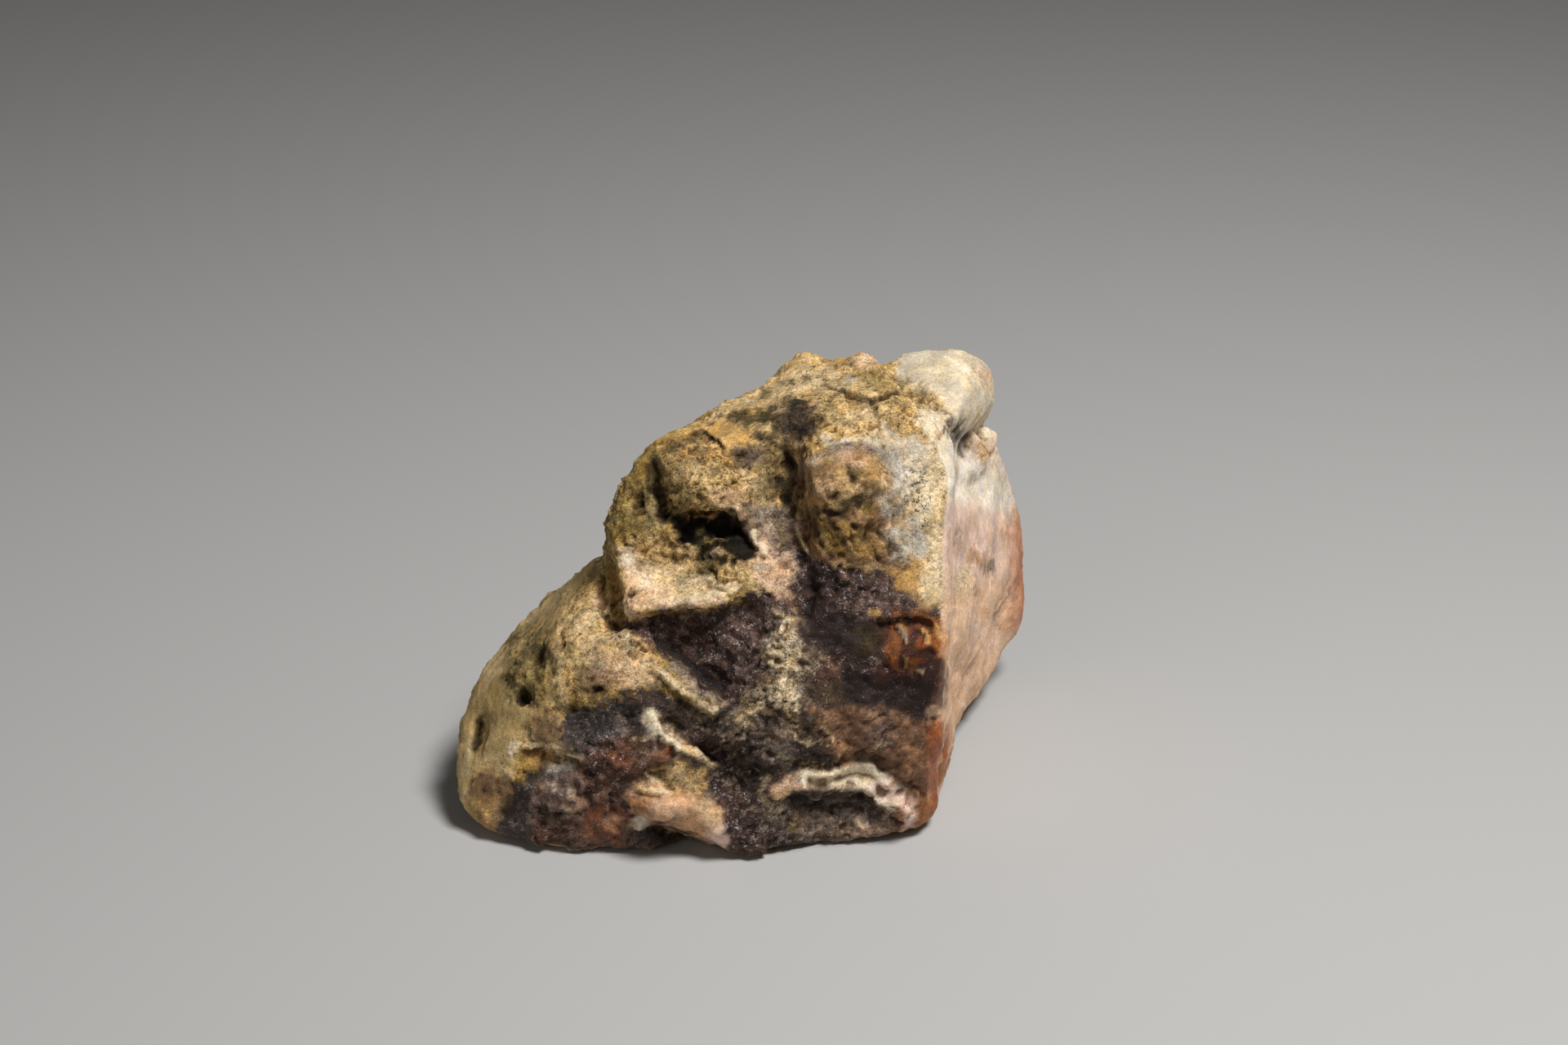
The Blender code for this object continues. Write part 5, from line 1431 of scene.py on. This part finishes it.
# %% [markdown]
# ## Grain, dirt, painted shade and wear
# Each mineral stands up in grains of its own depth, so the noise that moves the points is scaled by the
# painted crumble. The hollows are painted darker, partly as dirt and partly as painted shade, and edges rub
# pale. The mesh tells hollows from edges: a point that lies below the average of its neighbours is in a
# hollow.

# %% Raise the grain
# wavelength in millimetres, height for each millimetre of crumble
RELIEF = ((4.6, 1.4), (2.0, 1.4), (0.95, 1.3), (0.6, 0.8))
FACETS = ((3.6, 3.0), (1.5, 1.3))


def billows(wavelength, seed):
    """Rounded hills with sharp creases between them, about -0.5 to 0.5."""
    shift = Vector((seed * 6.1, seed * 13.3, seed * 4.7))
    scale = 1.0 / wavelength
    return np.array([2.0 * abs(noise.noise(Vector(p) * scale + shift)) for p in points]) - 0.5


def facets(size, seed):
    """Tilted flats with steps between them, about -1 to 1."""
    shift = Vector((seed * 3.3, seed * 8.9, seed * 1.7))
    places = (points + 0.12 * size * drift) / size
    heights = np.empty(len(points))
    for i, place in enumerate(places.tolist()):
        place = Vector(place) + shift
        middle = noise.voronoi(place)[1][0]
        tilt = noise.cell_vector(57.0 * middle)
        heights[i] = 1.3 * tilt.dot(place - middle) + 0.25 * noise.cell(31.0 * middle)
    return heights


COLOUR = slice(0, 3)
ROUGHNESS = 3
CRUMBLE = slice(4, 5)
FEEL = slice(4, 7)
crumble = carver.spread(painter.coats[:, CRUMBLE], 2)[:, 0]
# rough rind stands up in hills, and waxy silica is scooped out
hills_or_scoops = 2.0 * ramp(painter.coats[:, ROUGHNESS], 0.55, 0.8) - 1.0
relief = sum(height * billows(wavelength, 8 + i) for i, (wavelength, height) in enumerate(RELIEF))
patchy = 0.45 + 0.75 * ramp(waves(4.0, 14, 3), -0.3, 0.35)
broken = sum(height * facets(size, 5 + i) for i, (size, height) in enumerate(FACETS))
broken = carver.spread(broken[:, None], 1)[:, 0]
print("facets from", round(float(broken.min()), 2), "to", round(float(broken.max()), 2))
grain = crumble * (hills_or_scoops * patchy * relief + (0.7 - 0.3 * hills_or_scoops) * broken)
carver.points += normals * grain[:, None]
carver.measure()
print("grain from", round(float(grain.min()), 2), "to", round(float(grain.max()), 2), "mm")


# %% Dirt and painted shade in the hollows, wear on the edges
def hollow(passes):
    """How far each point lies below its surroundings, in millimetres; negative on an edge or a lump."""
    return ((carver.spread(carver.points, passes) - carver.points) * carver.normals).sum(axis=1)


MOST_DIRT_AND_SHADE = 0.88
DIRT_AND_SHADE_TINT = np.array([0.34, 0.27, 0.20])
WORN_GAIN = 1.35
fine_hollow = hollow(6)
wide_hollow = hollow(40)
# hollows are painted darker: partly dirt, partly painted shade
dirt_and_shade = 0.85 * ramp(fine_hollow, 0.01, 0.13) + 0.4 * ramp(wide_hollow, 0.08, 0.6)
dirt_and_shade = np.clip(dirt_and_shade, 0.0, MOST_DIRT_AND_SHADE)
wear = 0.8 * ramp(-fine_hollow, 0.02, 0.14)
print("dirty points:", round(float((dirt_and_shade > 0.3).mean()), 3))

# %% Livelier colour, then dirt, painted shade and wear over it
SHADE_SWING = 0.55
WARM_SWING = np.array([0.16, 0.0, -0.22])
RICHNESS = 1.15
DARKEST = 0.002
BRIGHTEST = 0.86

colour = painter.coats[:, COLOUR]
lively = 0.35 + 3.2 * painter.coats[:, CRUMBLE]
shade = waves(2.4, 31, 5)[:, None]
tone = np.clip(waves(1.7, 32, 4)[:, None], -0.1, 0.6)
colour *= np.exp(SHADE_SWING * lively * shade)
colour *= 1.0 + lively * tone * WARM_SWING
# darker in the hollows, as dirt and as painted shade
colour *= 1.0 - dirt_and_shade[:, None] * (1.0 - DIRT_AND_SHADE_TINT)
colour *= 1.0 + wear[:, None] * (WORN_GAIN - 1.0)
grey = colour.mean(axis=1)[:, None]
colour = grey + RICHNESS * (colour - grey)
colour = np.clip(colour, DARKEST, None)
# one factor for all three channels, so that a bright place keeps its hue
colour *= np.minimum(1.0, BRIGHTEST / colour.max(axis=1))[:, None]
print("brightest colour:", round(float(colour.max()), 2))

# %% [markdown]
# ## Back inside its box
# The dressed stone may not grow, so any grain that would pass the plain solid's box is pressed back, and the
# foot stays flat. Then the mesh goes back to metres and takes its paint as attributes, one for the colour and
# one for the feel, which the material reads.

# %% Keep to the box and store the paint
FLAT_FOOT = 0.22

low_corner, high_corner = (np.array(corner) / MM for corner in cad_box)
points = np.clip(carver.points, low_corner, high_corner)
points[points[:, 2] < FLAT_FOOT, 2] = 0.0
carver.points = points
carver.measure()
stone.data.transform(Matrix.Scale(MM, 4))
tint = stone.data.attributes.new("stone_tint", "FLOAT_COLOR", "POINT")
tint_values = np.column_stack([colour, painter.coats[:, ROUGHNESS]])
tint.data.foreach_set("color", tint_values.astype(np.float32).ravel())
feel = stone.data.attributes.new("stone_feel", "FLOAT_COLOR", "POINT")
feel_values = np.column_stack([painter.coats[:, FEEL], np.ones(len(points))])
feel.data.foreach_set("color", feel_values.astype(np.float32).ravel())
stone.data.shade_smooth()
stone.data.update()
print("stored paint on", len(points), "points")

# %% [markdown]
# ## The stone's material
# The painted colour gives the large picture, at about a quarter of a millimetre. A finer mesh could carry the
# grain of the real stone too, but it would be far too heavy. What is finer than the mesh comes from noise in
# the stone's own coordinates: mottling, sugary grain lit and shaded in paint, black dots and pores with
# painted shade, and bright crystal faces as painted highlights, each one as strong as the painted feel asks
# for. The same grain drives the bump.

# %% A material, and short ways to add its nodes
stone_material = bpy.data.materials.new("silica_stone_finish")
stone_material.use_nodes = True
nodes = stone_material.node_tree.nodes
links = stone_material.node_tree.links
shader = nodes["Principled BSDF"]


def put(value, socket):
    """Link a node's output to a socket, or set the socket to a plain value."""
    if isinstance(value, bpy.types.NodeSocket):
        links.new(value, socket)
    else:
        socket.default_value = value


def math_node(operation, *values, clamp=False):
    node = nodes.new("ShaderNodeMath")
    node.operation = operation
    node.use_clamp = clamp
    for value, socket in zip(values, node.inputs):
        put(value, socket)
    return node.outputs[0]


def step_node(value, low, high):
    """0 below low, 1 above high and smooth between."""
    node = nodes.new("ShaderNodeMapRange")
    node.interpolation_type = "SMOOTHSTEP"
    put(value, node.inputs["Value"])
    put(low, node.inputs["From Min"])
    put(high, node.inputs["From Max"])
    return node.outputs[0]


def mix_colour(share, first, second, blend="MIX"):
    node = nodes.new("ShaderNodeMix")
    node.data_type = "RGBA"
    node.blend_type = blend
    put(share, node.inputs[0])
    put(first, node.inputs[6])
    put(second, node.inputs[7])
    return node.outputs[2]


print("the new material has", len(nodes), "nodes")

# %% Noise and cells, measured in millimetres
place_node = nodes.new("ShaderNodeTexCoord")
in_millimetres = nodes.new("ShaderNodeVectorMath")
in_millimetres.operation = "SCALE"
in_millimetres.inputs["Scale"].default_value = 1 / MM
links.new(place_node.outputs["Object"], in_millimetres.inputs[0])


def noise_node(per_millimetre, detail, roughness=0.6, shift=0.0):
    moved = nodes.new("ShaderNodeVectorMath")
    moved.inputs[1].default_value = (shift, 0.7 * shift, 1.3 * shift)
    links.new(in_millimetres.outputs[0], moved.inputs[0])
    node = nodes.new("ShaderNodeTexNoise")
    node.inputs["Scale"].default_value = per_millimetre
    node.inputs["Detail"].default_value = detail
    node.inputs["Roughness"].default_value = roughness
    links.new(moved.outputs[0], node.inputs["Vector"])
    return node.outputs["Fac"]


def cell_node(per_millimetre, shift=0.0):
    """Cells: (distance to the nearest cell's middle, a random number for that cell)."""
    moved = nodes.new("ShaderNodeVectorMath")
    moved.inputs[1].default_value = (shift, 1.7 * shift, 0.4 * shift)
    links.new(in_millimetres.outputs[0], moved.inputs[0])
    node = nodes.new("ShaderNodeTexVoronoi")
    node.inputs["Scale"].default_value = per_millimetre
    links.new(moved.outputs[0], node.inputs["Vector"])
    split = nodes.new("ShaderNodeSeparateColor")
    links.new(node.outputs["Color"], split.inputs[0])
    return node.outputs["Distance"], split.outputs[0]


print("noise is measured in millimetres of", stone.name)

# %% The paint, and the height of the grains
painted = nodes.new("ShaderNodeAttribute")
painted.attribute_name = "stone_tint"
felt = nodes.new("ShaderNodeAttribute")
felt.attribute_name = "stone_feel"
feel_split = nodes.new("ShaderNodeSeparateColor")
links.new(felt.outputs["Color"], feel_split.inputs[0])
crumble_here, specks_here, glint_highlights_here = feel_split.outputs[:3]

mottle = noise_node(0.55, 4, shift=3.0)
sugar = noise_node(4.0, 5, 0.7, shift=11.0)
coarse_sugar = noise_node(1.5, 4, 0.65, shift=23.0)
hue = noise_node(0.28, 3, shift=47.0)
grain_distance, grain_chance = cell_node(4.2, shift=5.0)
clump_distance, _ = cell_node(1.5, shift=9.0)

# The height of the grains is close to 0.5, and 0.1 above and below is much.
grain_height = math_node("MULTIPLY_ADD", sugar, 0.75, math_node("MULTIPLY", coarse_sugar, 0.4))
grain_height = math_node("MULTIPLY_ADD", grain_distance, -0.14, grain_height)
grain_height = math_node("MULTIPLY_ADD", clump_distance, -0.05, grain_height)
grain_height = math_node("ADD", grain_height, 0.01)
print("so far", len(nodes), "nodes")

# %% Grains of different brightness: higher ones lighter, as painted light and shade, in warmer and cooler patches
GRAIN_CONTRAST = 4.4
CHANCE_CONTRAST = 1.2
MOTTLE_CONTRAST = 1.6
liveliness = math_node("MULTIPLY_ADD", crumble_here, 4.3, 0.1)
# higher grains lighter, lower ones darker: painted light and shade of the grain, with random tone added
swing = math_node("MULTIPLY", math_node("SUBTRACT", grain_height, 0.5), GRAIN_CONTRAST)
swing = math_node("MULTIPLY_ADD", math_node("SUBTRACT", grain_chance, 0.5), CHANCE_CONTRAST * 0.5, swing)
swing = math_node("MULTIPLY_ADD", math_node("SUBTRACT", mottle, 0.5), MOTTLE_CONTRAST, swing)
brightness = math_node("MULTIPLY_ADD", swing, liveliness, 1.0)
brightness = math_node("MAXIMUM", brightness, 0.2)
bright_vector = nodes.new("ShaderNodeCombineColor")
for channel in bright_vector.inputs:
    links.new(brightness, channel)
base = mix_colour(1.0, painted.outputs["Color"], bright_vector.outputs[0], "MULTIPLY")
warm = mix_colour(step_node(hue, 0.35, 0.65), (1.0, 1.0, 0.98, 1.0), (1.05, 1.0, 0.86, 1.0))
base = mix_colour(1.0, base, warm, "MULTIPLY")
print("so far", len(nodes), "nodes")

# %% Dark pores and black dots with painted shade, and crystal glints as painted highlights
# dark pores in the low ground between grains, with painted shade there
PORE_AND_SHADE_COLOUR = (0.022, 0.017, 0.010, 1.0)
pore_and_shade_limit = math_node("MULTIPLY_ADD", specks_here, 0.16, 0.29)
pore_and_shade_edge = math_node("SUBTRACT", pore_and_shade_limit, 0.05)
pore_and_shade_mask = math_node("SUBTRACT", 1.0, step_node(grain_height, pore_and_shade_edge, pore_and_shade_limit))
base = mix_colour(math_node("MULTIPLY", pore_and_shade_mask, 0.85), base, PORE_AND_SHADE_COLOUR)

# painted highlight: a pale colour on chosen crystal faces, besides their lower roughness
GLINT_HIGHLIGHT_COLOUR = (0.78, 0.70, 0.66, 1.0)
_, crystal_chance = cell_node(9.0, shift=13.0)
glint_highlight_limit = math_node("MULTIPLY_ADD", glint_highlights_here, -0.75, 1.0)
chosen_crystals = step_node(crystal_chance, glint_highlight_limit, math_node("ADD", glint_highlight_limit, 0.3))
glint_highlight_mask = math_node("MULTIPLY", chosen_crystals, step_node(grain_height, 0.44, 0.58))
glint_highlight_mask = math_node("MULTIPLY", glint_highlight_mask, step_node(coarse_sugar, 0.46, 0.62))
base = mix_colour(math_node("MULTIPLY", glint_highlight_mask, 0.62), base, GLINT_HIGHLIGHT_COLOUR)
print("so far", len(nodes), "nodes")

# %% Roughness, bump and the finished shader
rough = math_node("MULTIPLY_ADD", math_node("SUBTRACT", sugar, 0.5), 0.4, painted.outputs["Alpha"])
rough = math_node("MULTIPLY_ADD", glint_highlight_mask, -0.35, rough)
rough = math_node("MAXIMUM", rough, 0.22, clamp=True)

BUMP_DEPTH = 1.9 * MM
SILICA_IOR = 1.54
bump = nodes.new("ShaderNodeBump")
bump.inputs["Distance"].default_value = BUMP_DEPTH
put(math_node("MULTIPLY", grain_height, math_node("ADD", crumble_here, 0.02)), bump.inputs["Height"])
bump.inputs["Strength"].default_value = 1.0

put(base, shader.inputs["Base Color"])
put(rough, shader.inputs["Roughness"])
put(bump.outputs[0], shader.inputs["Normal"])
shader.inputs["IOR"].default_value = SILICA_IOR
shader.inputs["Specular IOR Level"].default_value = 0.25
stone.data.materials.append(stone_material)
print("material has", len(nodes), "nodes")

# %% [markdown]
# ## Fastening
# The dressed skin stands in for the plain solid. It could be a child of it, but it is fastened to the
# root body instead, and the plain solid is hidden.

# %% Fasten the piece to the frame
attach(stone, "root")
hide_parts("silica_rock")
print("piece:", stone.name)

# %% [markdown]
# ## A small studio
# The stone stands on a plain pale floor. One soft light hangs high up, a little to its right and in front, so
# that the top is bright and each ledge on the broken face still throws a shadow. A larger weak light on the
# left fills those shadows. A light from the camera's own place would be simpler and would hide every bump.

# %% The floor
FLOOR_SIDE = 6.0
FLOOR_COLOUR = (0.46, 0.453, 0.44, 1.0)
floor_mesh = bpy.data.meshes.new("floor")
work = bmesh.new()
bmesh.ops.create_grid(work, x_segments=1, y_segments=1, size=FLOOR_SIDE / 2)
work.to_mesh(floor_mesh)
work.free()
floor = bpy.data.objects.new("floor", floor_mesh)
bpy.context.scene.collection.objects.link(floor)
floor_material = bpy.data.materials.new("pale_floor")
floor_material.use_nodes = True
floor_shader = floor_material.node_tree.nodes["Principled BSDF"]
floor_shader.inputs["Base Color"].default_value = FLOOR_COLOUR
floor_shader.inputs["Roughness"].default_value = 0.9
floor_mesh.materials.append(floor_material)
print("floor side in metres:", FLOOR_SIDE)


# %% Lights and a dim room
def soft_light(name, place, side_length, watts):
    """A square light that looks at the stone."""
    light = bpy.data.lights.new(name, "AREA")
    light.size = side_length
    light.energy = watts
    obj = bpy.data.objects.new(name, light)
    obj.location = place
    obj.rotation_euler = (LIGHTS_AIM - Vector(place)).to_track_quat("-Z", "Y").to_euler()
    bpy.context.scene.collection.objects.link(obj)
    print(name, "light of", watts, "watts")


LIGHTS_AIM = Vector((0.0, 0.0, 0.02))
soft_light("key", (0.15, -0.14, 0.42), 0.12, 2.3)
soft_light("fill", (-0.35, -0.45, 0.30), 0.35, 0.3)
world = bpy.data.worlds.new("studio")
world.use_nodes = True
background = world.node_tree.nodes["Background"]
background.inputs["Color"].default_value = (1.0, 0.98, 0.96, 1.0)
background.inputs["Strength"].default_value = 0.05
bpy.context.scene.world = world
bpy.context.scene.view_settings.view_transform = "Standard"
print("room light:", round(background.inputs["Strength"].default_value, 2))
